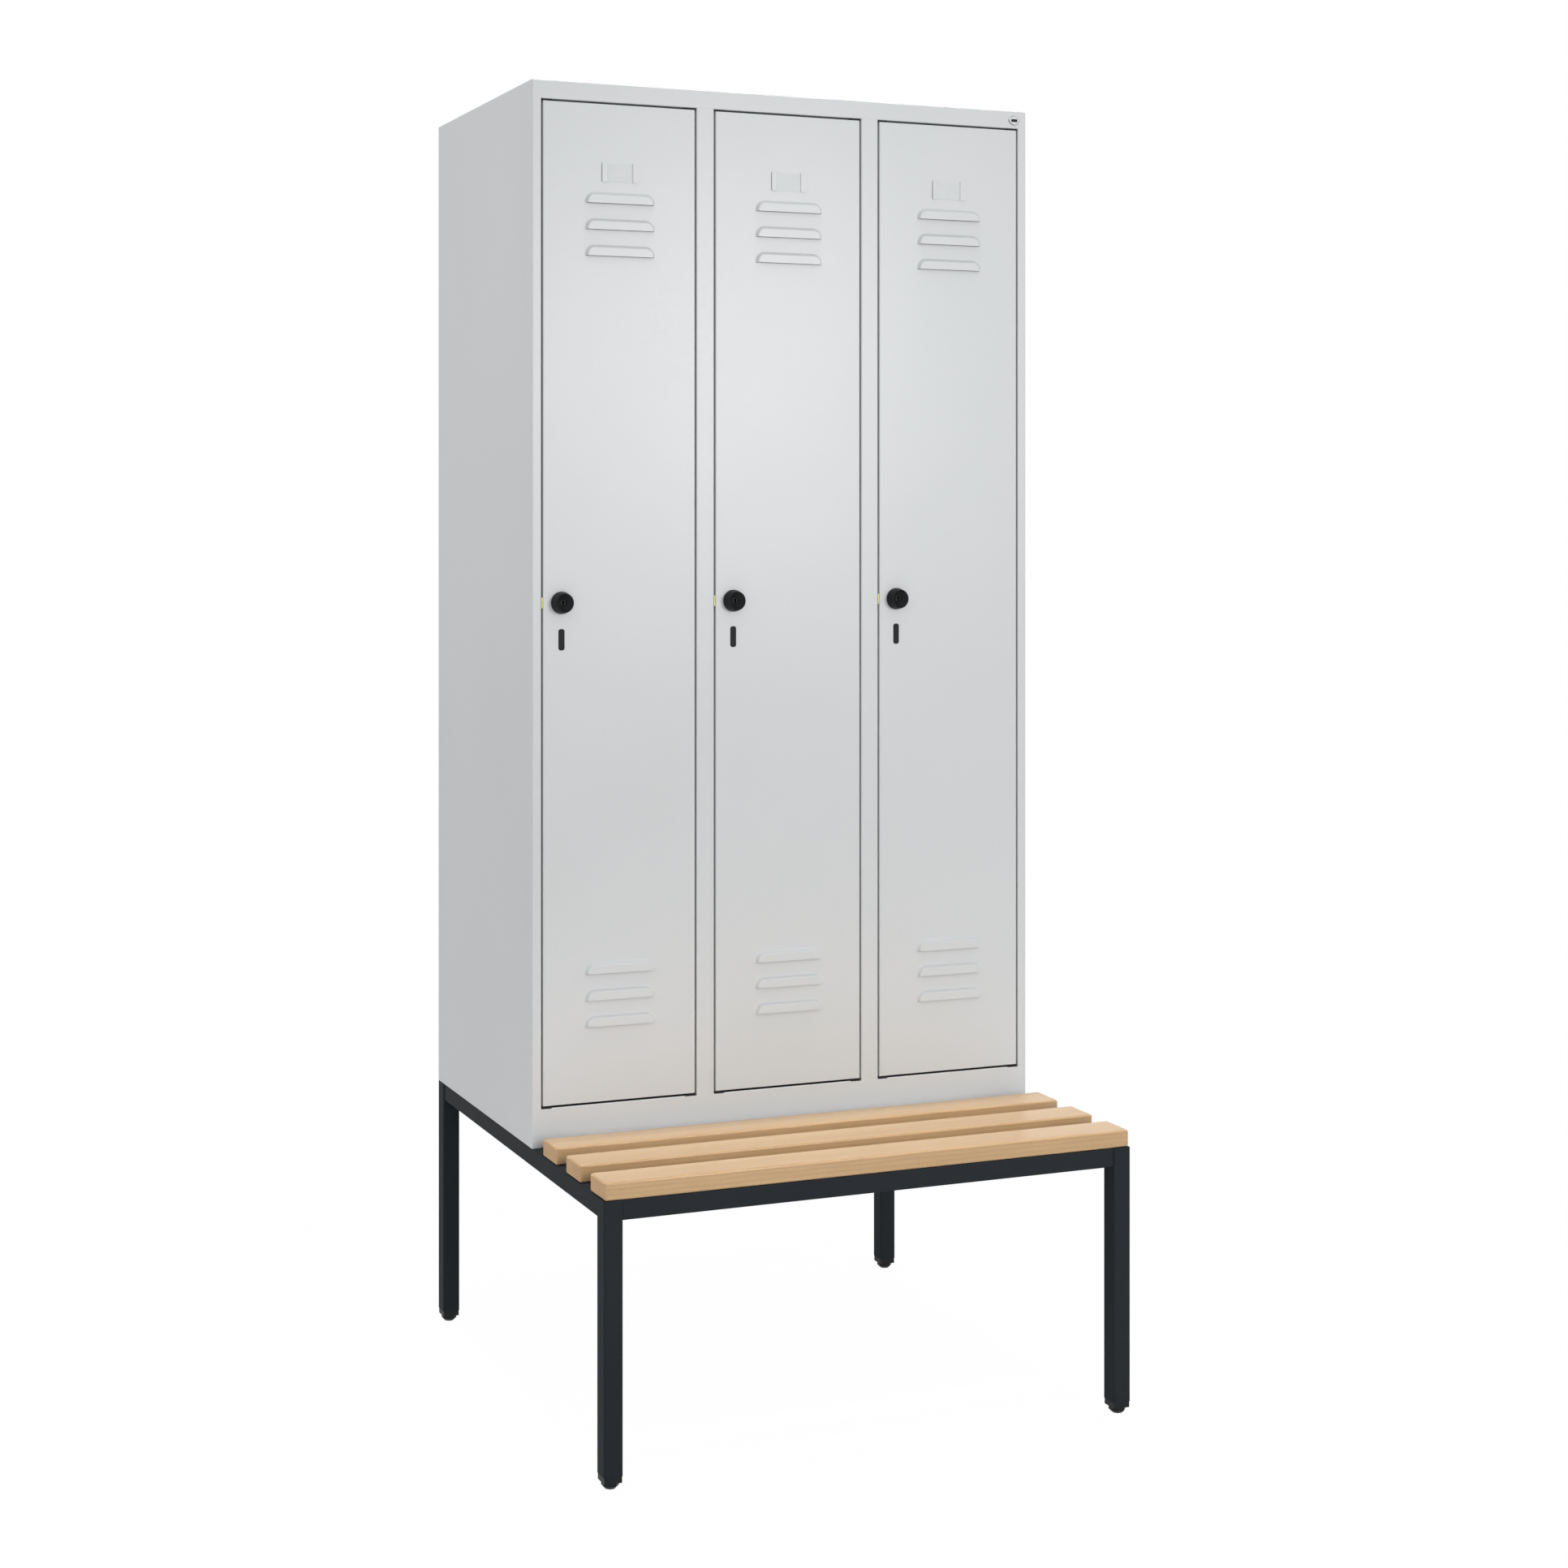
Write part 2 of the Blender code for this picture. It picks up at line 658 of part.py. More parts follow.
def hood(inset, depth, back, drop, steps):
    """A louvre's raised form over y = 0, or the smaller hollow in it. It rises to -depth."""
    bm = bmesh.new()
    rings = []
    rises = [(0, back), (0, HALF_SHEET)] if back > HALF_SHEET else [(0, back)]
    for step in range(1, steps + 1):
        share = step / steps
        rises.append((LOUVRE_SLOPE * share, -depth * (1 - math.cos(math.pi * share)) / 2))
    for slope, y in rises:
        half = LOUVRE_WIDTH / 2 - inset - slope
        top = LOUVRE_HEIGHT - inset - slope
        radius = LOUVRE_CORNER - inset - slope
        points = [(half, -drop)]
        for step in range(LOUVRE_CORNER_STEPS + 1):
            angle = math.pi / 2 * step / LOUVRE_CORNER_STEPS
            across = half - radius + radius * math.cos(angle)
            points.append((across, top - radius + radius * math.sin(angle)))
        points += [(-across, up) for across, up in points[::-1]]
        rings.append([bm.verts.new((across, y, up)) for across, up in points])
    count = len(rings[0])
    for lower, upper in zip(rings, rings[1:]):
        for place in range(count):
            after = (place + 1) % count
            bm.faces.new((lower[place], lower[after], upper[after], upper[place]))
    bm.faces.new(rings[0])
    bm.faces.new(rings[-1])
    return finished_mesh(bm, "hood")


def label_lip(side):
    """One lip of the label holder: a strip that leaves the door and turns over the card."""
    outer = side * LABEL_WIDTH / 2
    root = outer - side * LABEL_LIP_SHEET
    tip = outer - side * LABEL_LIP
    under = -LABEL_POCKET
    over = under - LABEL_LIP_SHEET
    outline = (
        (outer, HALF_SHEET), (outer, over), (tip, over), (tip, under), (root, under),
        (root, HALF_SHEET),
    )
    return prism(outline, "Z", 0, LABEL_HEIGHT)


def boss_shape(gap, start, end):
    """The lock's boss, or its slot with a gap all round, centred on the origin and along Y."""
    across = BOSS_WIDTH / 2 + gap
    up = BOSS_HEIGHT / 2 + gap
    outline = rounded_rectangle((-across, -up), (across, up), BOSS_CORNER + gap, BOSS_STEPS)
    return prism(outline, "Y", start, end)


def door_panel():
    """A door around its hinge axis, with z = 0 at its bottom edge: a pan, pressed and pierced."""
    face = -PIVOT_SETBACK
    left = PIVOT_INSET - DOOR_WIDTH
    middle = PIVOT_INSET - DOOR_WIDTH / 2
    pan = bmesh.new()
    bmesh.ops.create_cube(pan, size=1)
    bmesh.ops.scale(pan, vec=(DOOR_WIDTH, DOOR_DEPTH, DOOR_HEIGHT), verts=pan.verts)
    centre = (middle, face + DOOR_DEPTH / 2, DOOR_HEIGHT / 2)
    bmesh.ops.translate(pan, vec=centre, verts=pan.verts)
    rim = [edge for edge in pan.edges if all(vert.co.y < 0 for vert in edge.verts)]
    bmesh.ops.bevel(
        pan, geom=rim, offset=DOOR_EDGE_RADIUS, offset_type="OFFSET", affect="EDGES",
        segments=DOOR_EDGE_STEPS, profile=0.5,
    )
    pan = finished_mesh(pan, "door_panel")
    low = (left + SHEET, face + SHEET, SHEET)
    high = (PIVOT_INSET - SHEET, face + DOOR_DEPTH + OVERRUN, DOOR_HEIGHT - SHEET)
    pan = cut(pan, box(low, high))

    raised = []
    pierced = []
    for group in (LOWER_LOUVRES_ABOVE_BOTTOM, DOOR_HEIGHT - UPPER_LOUVRES_BELOW_TOP):
        for place in range(LOUVRES_IN_GROUP):
            height = group + (place - (LOUVRES_IN_GROUP - 1) / 2) * LOUVRE_PITCH
            form = hood(0, LOUVRE_DEPTH, HALF_SHEET, 0, LOUVRE_STEPS)
            hollow_depth = LOUVRE_DEPTH - SHEET
            behind = SHEET + OVERRUN
            hollow = hood(SHEET, hollow_depth, behind, LANCE_CLEARANCE, LOUVRE_HOLLOW_STEPS)
            raised.append(shifted(form, middle, face, height))
            pierced.append(shifted(hollow, middle, face, height))
    for side in (-1, 1):
        raised.append(shifted(label_lip(side), middle, face, DOOR_HEIGHT - LABEL_BELOW_DOOR_TOP))
    lock = left + LOCK_INSET
    through = (-OVERRUN, SHEET + OVERRUN)
    bore = disc(SPINDLE_RADIUS + SPINDLE_CLEARANCE, "Y", *through, KNOB_SIDES)
    pierced.append(shifted(bore, lock, face, LOCK_ABOVE_DOOR_BOTTOM))
    slot = boss_shape(FIT, *through)
    pierced.append(shifted(slot, lock, face, LOCK_ABOVE_DOOR_BOTTOM - BOSS_BELOW_AXIS))
    bolt_low = (left - OVERRUN, face + BOLT_SETBACK - FIT, -BOLT_HEIGHT / 2 - FIT)
    bolt_back = face + BOLT_SETBACK + BOLT_THICKNESS + FIT
    bolt_high = (left + SHEET + OVERRUN, bolt_back, BOLT_HEIGHT / 2 + FIT)
    pierced.append(shifted(box(bolt_low, bolt_high), z=LOCK_ABOVE_DOOR_BOTTOM))
    pin_hole = PIN_RADIUS + FIT
    for height in (0, DOOR_HEIGHT):
        hole = disc(pin_hole, "Z", -SHEET - OVERRUN, SHEET + OVERRUN, PIN_SIDES)
        pierced.append(shifted(hole, z=height))
    return cut(united(pan, gathered(raised)), gathered(pierced))


def hinge_block():
    """The bottom hinge block around the hinge axis, with z = 0 at the sill: plate and pin."""
    right = PIVOT_INSET + DOOR_GAP - FIT
    low = (right - BLOCK_LENGTH, -PIVOT_SETBACK + BLOCK_SETBACK)
    high = (right, -PIVOT_SETBACK + STILE_DEPTH - BLOCK_SETBACK)
    outline = rounded_rectangle(low, high, BLOCK_ROUND, BLOCK_ROUND_STEPS)
    top = DOOR_GAP - FIT
    plate = prism(outline, "Z", FIT, top, "hinge_block")
    pin = disc(PIN_RADIUS, "Z", DOOR_GAP / 2, DOOR_GAP + PIN_REACH, PIN_SIDES)
    return united(plate, pin)


def corner_buffer():
    """The bottom buffer, with x = 0 at the stile, y = 0 at the front and z = 0 at the sill."""
    behind_door = DOOR_DEPTH + FIT
    back = behind_door + BUFFER_STOP_THICKNESS
    low = (FIT, BLOCK_SETBACK)
    high = (BUFFER_LENGTH, back)
    outline = rounded_rectangle(low, high, BLOCK_ROUND / 2, BLOCK_ROUND_STEPS)
    plate = prism(outline, "Z", FIT, DOOR_GAP - FIT, "corner_buffer")
    radius = BLOCK_ROUND / 2
    stop_top = DOOR_GAP + BUFFER_STOP_HEIGHT
    stop = box((FIT + radius, behind_door, DOOR_GAP / 2), (BUFFER_LENGTH - radius, back, stop_top))
    return united(plate, stop)


def lock_case():
    """The lock's case around the lock axis, with y = 0 at the door's face and a boss below."""
    front = SHEET + FIT
    left = -LOCK_INSET + SHEET + FIT
    low = (left, front, -CASE_BELOW_AXIS)
    high = (CASE_BEHIND_AXIS, front + CASE_DEPTH, CASE_ABOVE_AXIS)
    case = box(low, high, "lock_case")
    boss = boss_shape(0, -BOSS_PROUD, front + SHEET)
    case = united(case, shifted(boss, z=-BOSS_BELOW_AXIS))
    channel_front = BOLT_SETBACK - FIT
    bore = disc(SPINDLE_RADIUS + SPINDLE_CLEARANCE, "Y", 0, channel_front + SHEET, KNOB_SIDES)
    cam_front = channel_front - CAM_THICKNESS - 2 * FIT
    cam_room = disc(CAM_RADIUS + FIT, "Y", cam_front, channel_front + SHEET, KNOB_SIDES)
    half = BOLT_HEIGHT / 2 + FIT
    channel_low = (left - OVERRUN, channel_front, -half)
    channel_high = (BOLT_TAIL + FIT, BOLT_SETBACK + BOLT_THICKNESS + FIT, half)
    room_low = (-CAM_RADIUS, channel_front, -half)
    room_high = (CAM_RADIUS + FIT, BOLT_SETBACK + BOLT_THICKNESS + FIT, half)
    channel = united(box(channel_low, channel_high), box(room_low, room_high))
    return cut(case, bore, cam_room, channel)


def lock_bolt():
    """The bolt around the lock axis, at rest in its case, with the slot for the drive pin."""
    tip = -LOCK_INSET - BOLT_REST_REACH
    half = BOLT_HEIGHT / 2
    low = (tip, BOLT_SETBACK, -half)
    high = (BOLT_TAIL, BOLT_SETBACK + BOLT_THICKNESS, half)
    body = box(low, high, "lock_bolt")
    side = DRIVE_PIN_RADIUS + FIT
    slot_low = (-side - BOLT_LOST_MOTION, BOLT_SETBACK - OVERRUN, -side)
    slot_high = (side, BOLT_SETBACK + BOLT_THICKNESS + OVERRUN, BOLT_TRAVEL + side)
    return cut(body, box(slot_low, slot_high))


def dish_depth(radius):
    """Depth of the knob's dish, a cap of a ball, at a radius from the lock axis."""
    ball = (KNOB_DISH_RADIUS**2 + KNOB_DISH_DEPTH**2) / (2 * KNOB_DISH_DEPTH)
    return KNOB_DISH_DEPTH - ball + math.sqrt(ball**2 - radius**2)


def cylinder_front():
    """Y of the key cylinder's face, level with the dish where its socket opens."""
    return -FIT - KNOB_LENGTH + dish_depth(CYLINDER_RADIUS + FIT)


def cylinder_back():
    return cylinder_front() + CYLINDER_LENGTH


def knob():
    """The knob around the lock axis, with y = 0 at the door's face: grip, spindle, cam and pin."""
    face = -FIT - KNOB_LENGTH
    spindle_end = BOLT_SETBACK - 2 * FIT
    cam_front = spindle_end - CAM_THICKNESS
    profile = (
        (0, face), (KNOB_FACE_RADIUS - KNOB_RIM_ROUND, face),
        (KNOB_FACE_RADIUS, face + KNOB_RIM_ROUND),
        (KNOB_RADIUS, -FIT - KNOB_SKIRT_HEIGHT), (KNOB_RADIUS, -FIT), (SPINDLE_RADIUS, -FIT),
        (SPINDLE_RADIUS, cam_front), (CAM_RADIUS, cam_front), (CAM_RADIUS, spindle_end),
        (0, spindle_end),
    )
    body = lathe(profile, KNOB_SIDES, "knob")
    bowl = [(0, face + KNOB_DISH_DEPTH)]
    for step in range(1, KNOB_DISH_STEPS + 1):
        radius = KNOB_DISH_RADIUS * step / KNOB_DISH_STEPS
        bowl.append((radius, face + dish_depth(radius)))
    bowl += [(KNOB_DISH_RADIUS, face - OVERRUN), (0, face - OVERRUN)]
    dish = lathe(bowl, KNOB_SIDES, "dish")
    socket = disc(CYLINDER_RADIUS + FIT, "Y", face - OVERRUN, cylinder_back() + FIT, CYLINDER_SIDES)
    pin_end = BOLT_SETBACK + BOLT_THICKNESS
    pin = disc(DRIVE_PIN_RADIUS, "Y", spindle_end - CAM_THICKNESS / 2, pin_end, PIN_SIDES)
    body = cut(body, dish, socket)
    return united(body, shifted(pin, z=BOLT_TRAVEL))


def lock_cylinder():
    """The key cylinder around the lock axis, with its keyhole: a round head over a slot."""
    front = cylinder_front()
    body = disc(CYLINDER_RADIUS, "Y", front, cylinder_back(), CYLINDER_SIDES, "lock_cylinder")
    bottom = front + KEYHOLE_DEPTH
    head = disc(KEYHOLE_HEAD_RADIUS, "Y", front - OVERRUN, bottom, PIN_SIDES)
    half = KEYHOLE_SLOT_WIDTH / 2
    slot = box((-half, front - OVERRUN, -KEYHOLE_SLOT_HEIGHT), (half, bottom, 0))
    keyhole = shifted(united(head, slot), z=KEYHOLE_HEAD_RADIUS)
    return cut(body, keyhole)


def badge():
    """A plain plate between an oval and a rhombus, y = 0 at its back, its front edge stepped."""
    bm = bmesh.new()
    bmesh.ops.create_circle(bm, cap_ends=True, segments=BADGE_SIDES, radius=1)
    bmesh.ops.rotate(bm, cent=(0, 0, 0), matrix=Matrix.Rotation(math.pi / 2, 3, "X"), verts=bm.verts)
    for vert in bm.verts:
        reach = abs(vert.co.x) ** BADGE_POWER + abs(vert.co.z) ** BADGE_POWER
        vert.co *= reach ** (-1 / BADGE_POWER)
    bmesh.ops.scale(bm, vec=(BADGE_WIDTH / 2, 1, BADGE_HEIGHT / 2), verts=bm.verts)
    steps = ((0, BADGE_THICKNESS / 2), (BADGE_THICKNESS / 2, BADGE_THICKNESS / 2))
    faces = list(bm.faces)
    for inset, rise in steps:
        grown = bmesh.ops.extrude_face_region(bm, geom=faces)["geom"]
        bmesh.ops.delete(bm, geom=faces, context="FACES_ONLY")
        rim = [part for part in grown if isinstance(part, bmesh.types.BMVert)]
        faces = [part for part in grown if isinstance(part, bmesh.types.BMFace)]
        shrink = (1 - 2 * inset / BADGE_WIDTH, 1, 1 - 2 * inset / BADGE_HEIGHT)
        bmesh.ops.scale(bm, vec=shrink, verts=rim)
        bmesh.ops.translate(bm, vec=(0, -rise, 0), verts=rim)
    bmesh.ops.holes_fill(bm, edges=bm.edges)
    return finished_mesh(bm, "badge")


def build_cabinet(grey):
    """The body of folded sheet and what stands between its walls."""
    left = cut(side_wall(-1), strike_cutter(0))
    put("side_wall_left", left, grey)
    put("side_wall_right", side_wall(1), grey)
    put("back_wall", back_wall(), grey)
    put("top_panel", top_panel(), grey)
    put("floor_panel", floor_panel(), grey)
    web = partition()
    for number, side in enumerate(("left", "right")):
        place = bay_centre(number) + BAY_PITCH / 2
        slot = shifted(strike_cutter(number + 1), x=-place)
        put("partition_" + side, cut(web, slot), grey, (place, 0, 0))


def build_inside(bay, name, grey, steel, plastic):
    """The shelf, the clothes rail and the sliding hook of one compartment."""
    put("hat_shelf_" + name, hat_shelf(bay), grey)
    left, right = bay_walls(bay)
    middle = ((left + right) / 2, (FRONT + BACK) / 2, RAIL_HEIGHT)
    put("clothes_rail_" + name, clothes_rail(bay), steel, middle, smooth=True)
    slide = axis_empty("hook_slide_" + name, middle)
    put("coat_hook_" + name, coat_hook(), plastic, parent=slide, smooth=True)


def build_door(bay, name, meshes, grey, plastic, zinc):
    """One door with its lock, and the blocks and buffers in the gap round it."""
    centre = bay_centre(bay)
    opening_left = centre - OPENING_WIDTH / 2
    hinge_x = centre + DOOR_WIDTH / 2 - PIVOT_INSET
    hinge_y = FRONT + PIVOT_SETBACK
    hinge = axis_empty("door_hinge_" + name, (hinge_x, hinge_y, DOOR_BOTTOM))
    put("door_panel_" + name, meshes["door"], grey, parent=hinge)
    lock_place = (PIVOT_INSET - DOOR_WIDTH + LOCK_INSET, -PIVOT_SETBACK, LOCK_ABOVE_DOOR_BOTTOM)
    lock = axis_empty("lock_axis_" + name, lock_place, hinge)
    put("lock_case_" + name, meshes["case"], plastic, parent=lock)
    put("lock_bolt_" + name, meshes["bolt"], zinc, parent=lock)
    put("knob_" + name, meshes["knob"], plastic, parent=lock, smooth=True)
    put("lock_cylinder_" + name, meshes["cylinder"], plastic, parent=lock, smooth=True)
    put("hinge_block_bottom_" + name, meshes["block"], plastic, (hinge_x, hinge_y, SILL_TOP))
    upper = (hinge_x, hinge_y, HEADER_BOTTOM)
    put("hinge_block_top_" + name, meshes["block_top"], plastic, upper)
    put("corner_buffer_bottom_" + name, meshes["buffer"], plastic, (opening_left, FRONT, SILL_TOP))
    upper = (opening_left, FRONT, HEADER_BOTTOM)
    put("corner_buffer_top_" + name, meshes["buffer_top"], plastic, upper)


def build_frame(black, plastic):
    """The welded bench frame of square tube on four plastic feet."""
    leg_x = HALF_WIDTH - TUBE / 2
    leg_y = FRAME_DEPTH / 2 - TUBE / 2
    post = leg()
    pad = foot()
    for row, y in (("front", -leg_y), ("rear", leg_y)):
        for side, x in (("left", -leg_x), ("right", leg_x)):
            put(f"leg_{row}_{side}", post, black, (x, y, 0), smooth=True)
            put(f"foot_{row}_{side}", pad, plastic, (x, y, 0), smooth=True)
    level = FRAME_HEIGHT - TUBE / 2 - FIT
    rail_x = leg_x - RAIL_INSET / 2
    rail_y = leg_y - RAIL_INSET / 2
    along = rail("X", CABINET_WIDTH - 2 * TUBE - 2 * FIT, "rail_along")
    across = rail("Y", FRAME_DEPTH - 2 * TUBE - 2 * FIT, "rail_across")
    between = rail("X", 2 * leg_x - TUBE - 2 * FIT, "rail_between")
    put("front_rail", along, black, (0, -rail_y, level), smooth=True)
    put("rear_rail", along, black, (0, rail_y, level), smooth=True)
    put("side_rail_left", across, black, (-rail_x, 0, level), smooth=True)
    put("side_rail_right", across, black, (rail_x, 0, level), smooth=True)
    put("cross_rail", between, black, (0, FRONT + TUBE / 2, level), smooth=True)


def build_seat(beech):
    """The slats, on the side rails."""
    plank = slat()
    first = FRAME_FRONT + SLAT_FRONT_INSET + SLAT_WIDTH / 2
    for number, name in enumerate(SLAT_NAMES):
        put("slat_" + name, plank, beech, (0, first + number * SLAT_PITCH, FRAME_HEIGHT), smooth=True)


def main():
    for old in list(bpy.data.objects):
        bpy.data.objects.remove(old)
    grey = finish("light_grey_powder_coat", 214, 216, 217, 0.45, 0.0)
    black = finish("black_grey_powder_coat", 44, 46, 49, 0.45, 0.0)
    plastic = finish("black_plastic", 35, 36, 37, 0.5, 0.0)
    zinc = finish("yellow_zinc", 200, 190, 120, 0.35, 0.9)
    steel = finish("bright_zinc", 190, 192, 195, 0.35, 0.9)
    beech = finish("lacquered_beech", 220, 198, 165, 0.4, 0.0)
    meshes = {
        "door": door_panel(),
        "case": lock_case(),
        "bolt": lock_bolt(),
        "knob": knob(),
        "cylinder": lock_cylinder(),
        "block": hinge_block(),
        "buffer": corner_buffer(),
    }
    meshes["block_top"] = mirrored(meshes["block"], "Z")
    meshes["buffer_top"] = mirrored(meshes["buffer"], "Z")
    build_cabinet(grey)
    for bay, name in enumerate(BAY_NAMES):
        build_inside(bay, name, grey, steel, plastic)
        build_door(bay, name, meshes, grey, plastic, zinc)
    build_frame(black, plastic)
    build_seat(beech)
    corner = (HALF_WIDTH - BADGE_SIDE_INSET, FRONT - FIT, CABINET_TOP - BADGE_TOP_INSET)
    put("badge", badge(), plastic, corner)


main()
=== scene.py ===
# %% [markdown]
# # A locker with a bench
# The real object is a folded steel cabinet with three doors. It stands at the back of a frame
# of square tube, which reaches out in front and carries three wooden slats to sit on.
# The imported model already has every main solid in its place. This file gives them their
# finishes, and swaps the plainest of them for pieces with the detail that a close look shows.

import math

import bmesh
import bpy
from mathutils import Matrix, Vector


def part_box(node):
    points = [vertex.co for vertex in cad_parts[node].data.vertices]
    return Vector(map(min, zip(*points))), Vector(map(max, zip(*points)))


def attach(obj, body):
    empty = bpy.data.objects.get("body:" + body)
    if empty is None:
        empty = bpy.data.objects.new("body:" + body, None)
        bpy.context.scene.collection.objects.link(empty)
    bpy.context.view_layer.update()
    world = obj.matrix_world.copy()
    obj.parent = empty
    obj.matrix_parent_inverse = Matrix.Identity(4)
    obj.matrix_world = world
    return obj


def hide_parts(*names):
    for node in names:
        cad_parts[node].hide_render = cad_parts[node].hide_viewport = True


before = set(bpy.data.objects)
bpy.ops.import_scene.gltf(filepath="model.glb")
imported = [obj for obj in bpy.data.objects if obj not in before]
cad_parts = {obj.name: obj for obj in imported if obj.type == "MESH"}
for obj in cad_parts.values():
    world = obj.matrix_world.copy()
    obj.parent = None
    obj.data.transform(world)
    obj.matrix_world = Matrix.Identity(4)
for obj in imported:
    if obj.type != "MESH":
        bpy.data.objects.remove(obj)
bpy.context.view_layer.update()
BAYS = ("left", "middle", "right")

# %% [markdown]
# ## The camera
# The photograph was taken from the left of the cabinet and a little above the lock, with a
# level camera, so that upright edges stay upright. A level camera with lens shift does the
# same here. Turning the camera down instead would make the legs lean towards each other.

# %% Camera
LENS_MM = 54.64
SENSOR_MM = 36
SHIFT_ACROSS = 0.1462
SHIFT_UP = -0.1681
CAMERA_PLACE = (-1.7157, -3.6551, 1.4235)
CAMERA_LEVEL = math.radians(90)
CAMERA_TURN = math.radians(-20.1033)

camera_data = bpy.data.cameras.new("camera")
camera_data.lens = LENS_MM
camera_data.sensor_width = SENSOR_MM
camera_data.shift_x = SHIFT_ACROSS
camera_data.shift_y = SHIFT_UP
camera = bpy.data.objects.new("camera", camera_data)
camera.location = CAMERA_PLACE
camera.rotation_euler = (CAMERA_LEVEL, 0, CAMERA_TURN)
bpy.context.scene.collection.objects.link(camera)
bpy.context.scene.camera = camera
print("Camera", round((camera.location.xy).length, 2), "m from the middle")

# %% [markdown]
# ## Colours
# Paint charts give colours as numbers from 0 to 255, and a shader wants linear light. One
# small function does the conversion, so that every finish below can be written as it is seen.

# %% From seen colours to linear light
def seen(red, green, blue):
    """A shader colour from one that is seen as red, green and blue of 255."""
    shares = [value / 255 for value in (red, green, blue)]
    linear = [share / 12.92 if share < 0.04 else ((share + 0.055) / 1.055) ** 2.4 for share in shares]
    return (*linear, 1)


WHITE = seen(255, 255, 255)
print("A seen 214 is", round(seen(214, 214, 214)[0], 3), "in linear light")

# %% [markdown]
# ## The studio
# The object stands on plain pale paper under soft light. The photograph's background is white,
# so rays that come from the camera, off gloss or through glass see white, and all other rays
# see the dimmer light that the object really gets. The floor keeps a faint shadow.

# %% Floor and background
FLOOR_HALF = 60
PAPER_TINT = seen(205, 205, 205)
PAPER_GLOW = 1.02
PAPER_GLOW_SHARE = 0.96
AMBIENT_TINT = (0.96, 0.98, 1.0, 1)
AMBIENT_STRENGTH = 0.67

floor_mesh = bpy.data.meshes.new("floor")
floor_sheet = bmesh.new()
bmesh.ops.create_grid(floor_sheet, x_segments=1, y_segments=1, size=FLOOR_HALF)
floor_sheet.to_mesh(floor_mesh)
floor_sheet.free()
floor = bpy.data.objects.new("floor", floor_mesh)
bpy.context.scene.collection.objects.link(floor)


def seen_directly(tree):
    """1 for rays from the camera, off gloss or through glass, and 0 for the rest."""
    path = tree.nodes.new("ShaderNodeLightPath")
    first = tree.nodes.new("ShaderNodeMath")
    second = tree.nodes.new("ShaderNodeMath")
    first.operation = "MAXIMUM"
    second.operation = "MAXIMUM"
    tree.links.new(path.outputs["Is Camera Ray"], first.inputs[0])
    tree.links.new(path.outputs["Is Glossy Ray"], first.inputs[1])
    tree.links.new(first.outputs[0], second.inputs[0])
    tree.links.new(path.outputs["Is Transmission Ray"], second.inputs[1])
    return second.outputs[0]


floor_finish = bpy.data.materials.new("studio_floor")
floor_finish.use_nodes = True
tree = floor_finish.node_tree
paper = tree.nodes["Principled BSDF"]
paper.inputs["Base Color"].default_value = PAPER_TINT
paper.inputs["Roughness"].default_value = 1.0
glow = tree.nodes.new("ShaderNodeEmission")
glow.inputs["Strength"].default_value = PAPER_GLOW
share = tree.nodes.new("ShaderNodeMath")
share.operation = "MULTIPLY"
share.inputs[1].default_value = PAPER_GLOW_SHARE
tree.links.new(seen_directly(tree), share.inputs[0])
mix = tree.nodes.new("ShaderNodeMixShader")
tree.links.new(share.outputs[0], mix.inputs[0])
tree.links.new(paper.outputs[0], mix.inputs[1])
tree.links.new(glow.outputs[0], mix.inputs[2])
tree.links.new(mix.outputs[0], tree.nodes["Material Output"].inputs["Surface"])
floor_mesh.materials.append(floor_finish)

world = bpy.data.worlds.new("studio")
world.use_nodes = True
bpy.context.scene.world = world
tree = world.node_tree
ambient = tree.nodes["Background"]
ambient.inputs["Color"].default_value = AMBIENT_TINT
ambient.inputs["Strength"].default_value = AMBIENT_STRENGTH
backdrop = tree.nodes.new("ShaderNodeBackground")
backdrop.inputs["Color"].default_value = WHITE
backdrop.inputs["Strength"].default_value = 1.0
mix = tree.nodes.new("ShaderNodeMixShader")
tree.links.new(seen_directly(tree), mix.inputs[0])
tree.links.new(ambient.outputs[0], mix.inputs[1])
tree.links.new(backdrop.outputs[0], mix.inputs[2])
tree.links.new(mix.outputs[0], tree.nodes["World Output"].inputs["Surface"])


def soft_lamp(name, place, aim, width, height, power, spread):
    """A large soft light that points at a place, with its power in watts."""
    data = bpy.data.lights.new(name, "AREA")
    data.shape = "RECTANGLE"
    data.size = width
    data.size_y = height
    data.energy = power
    data.spread = math.radians(spread)
    lamp = bpy.data.objects.new(name, data)
    lamp.location = place
    lamp.rotation_euler = (Vector(aim) - Vector(place)).to_track_quat("-Z", "Y").to_euler()
    bpy.context.scene.collection.objects.link(lamp)


OPEN = 180
LAMPS = (
    ("key", (1.42, -3.66, 1.95), (-0.15, -0.09, 1.6), 0.9, 0.9, 33, OPEN),
    ("fill", (-0.6, -4.2, 1.2), (0, -0.09, 1.1), 2.0, 2.0, 11, OPEN),
    ("low", (0, -1.9, 0.8), (0, -0.09, 0.46), 1.6, 0.3, 0.3, 30),
    ("top", (0.2, -0.7, 6.0), (0.1, -0.3, 0.4), 2.0, 1.0, 18, OPEN),
    ("slats", (0, 0.05, 6.0), (0, -0.27, 0.45), 1.8, 0.1, 4.8, 25),
    ("side", (-1.6, 0.2, 1.95), (-0.45, 0.15, 1.85), 0.7, 0.7, 1.8, OPEN),
)
for name, place, aim, width, height, power, spread in LAMPS:
    soft_lamp(name, place, aim, width, height, power, spread)
bpy.context.scene.view_settings.view_transform = "Standard"
print("Lit the studio with", len(LAMPS), "lamps")

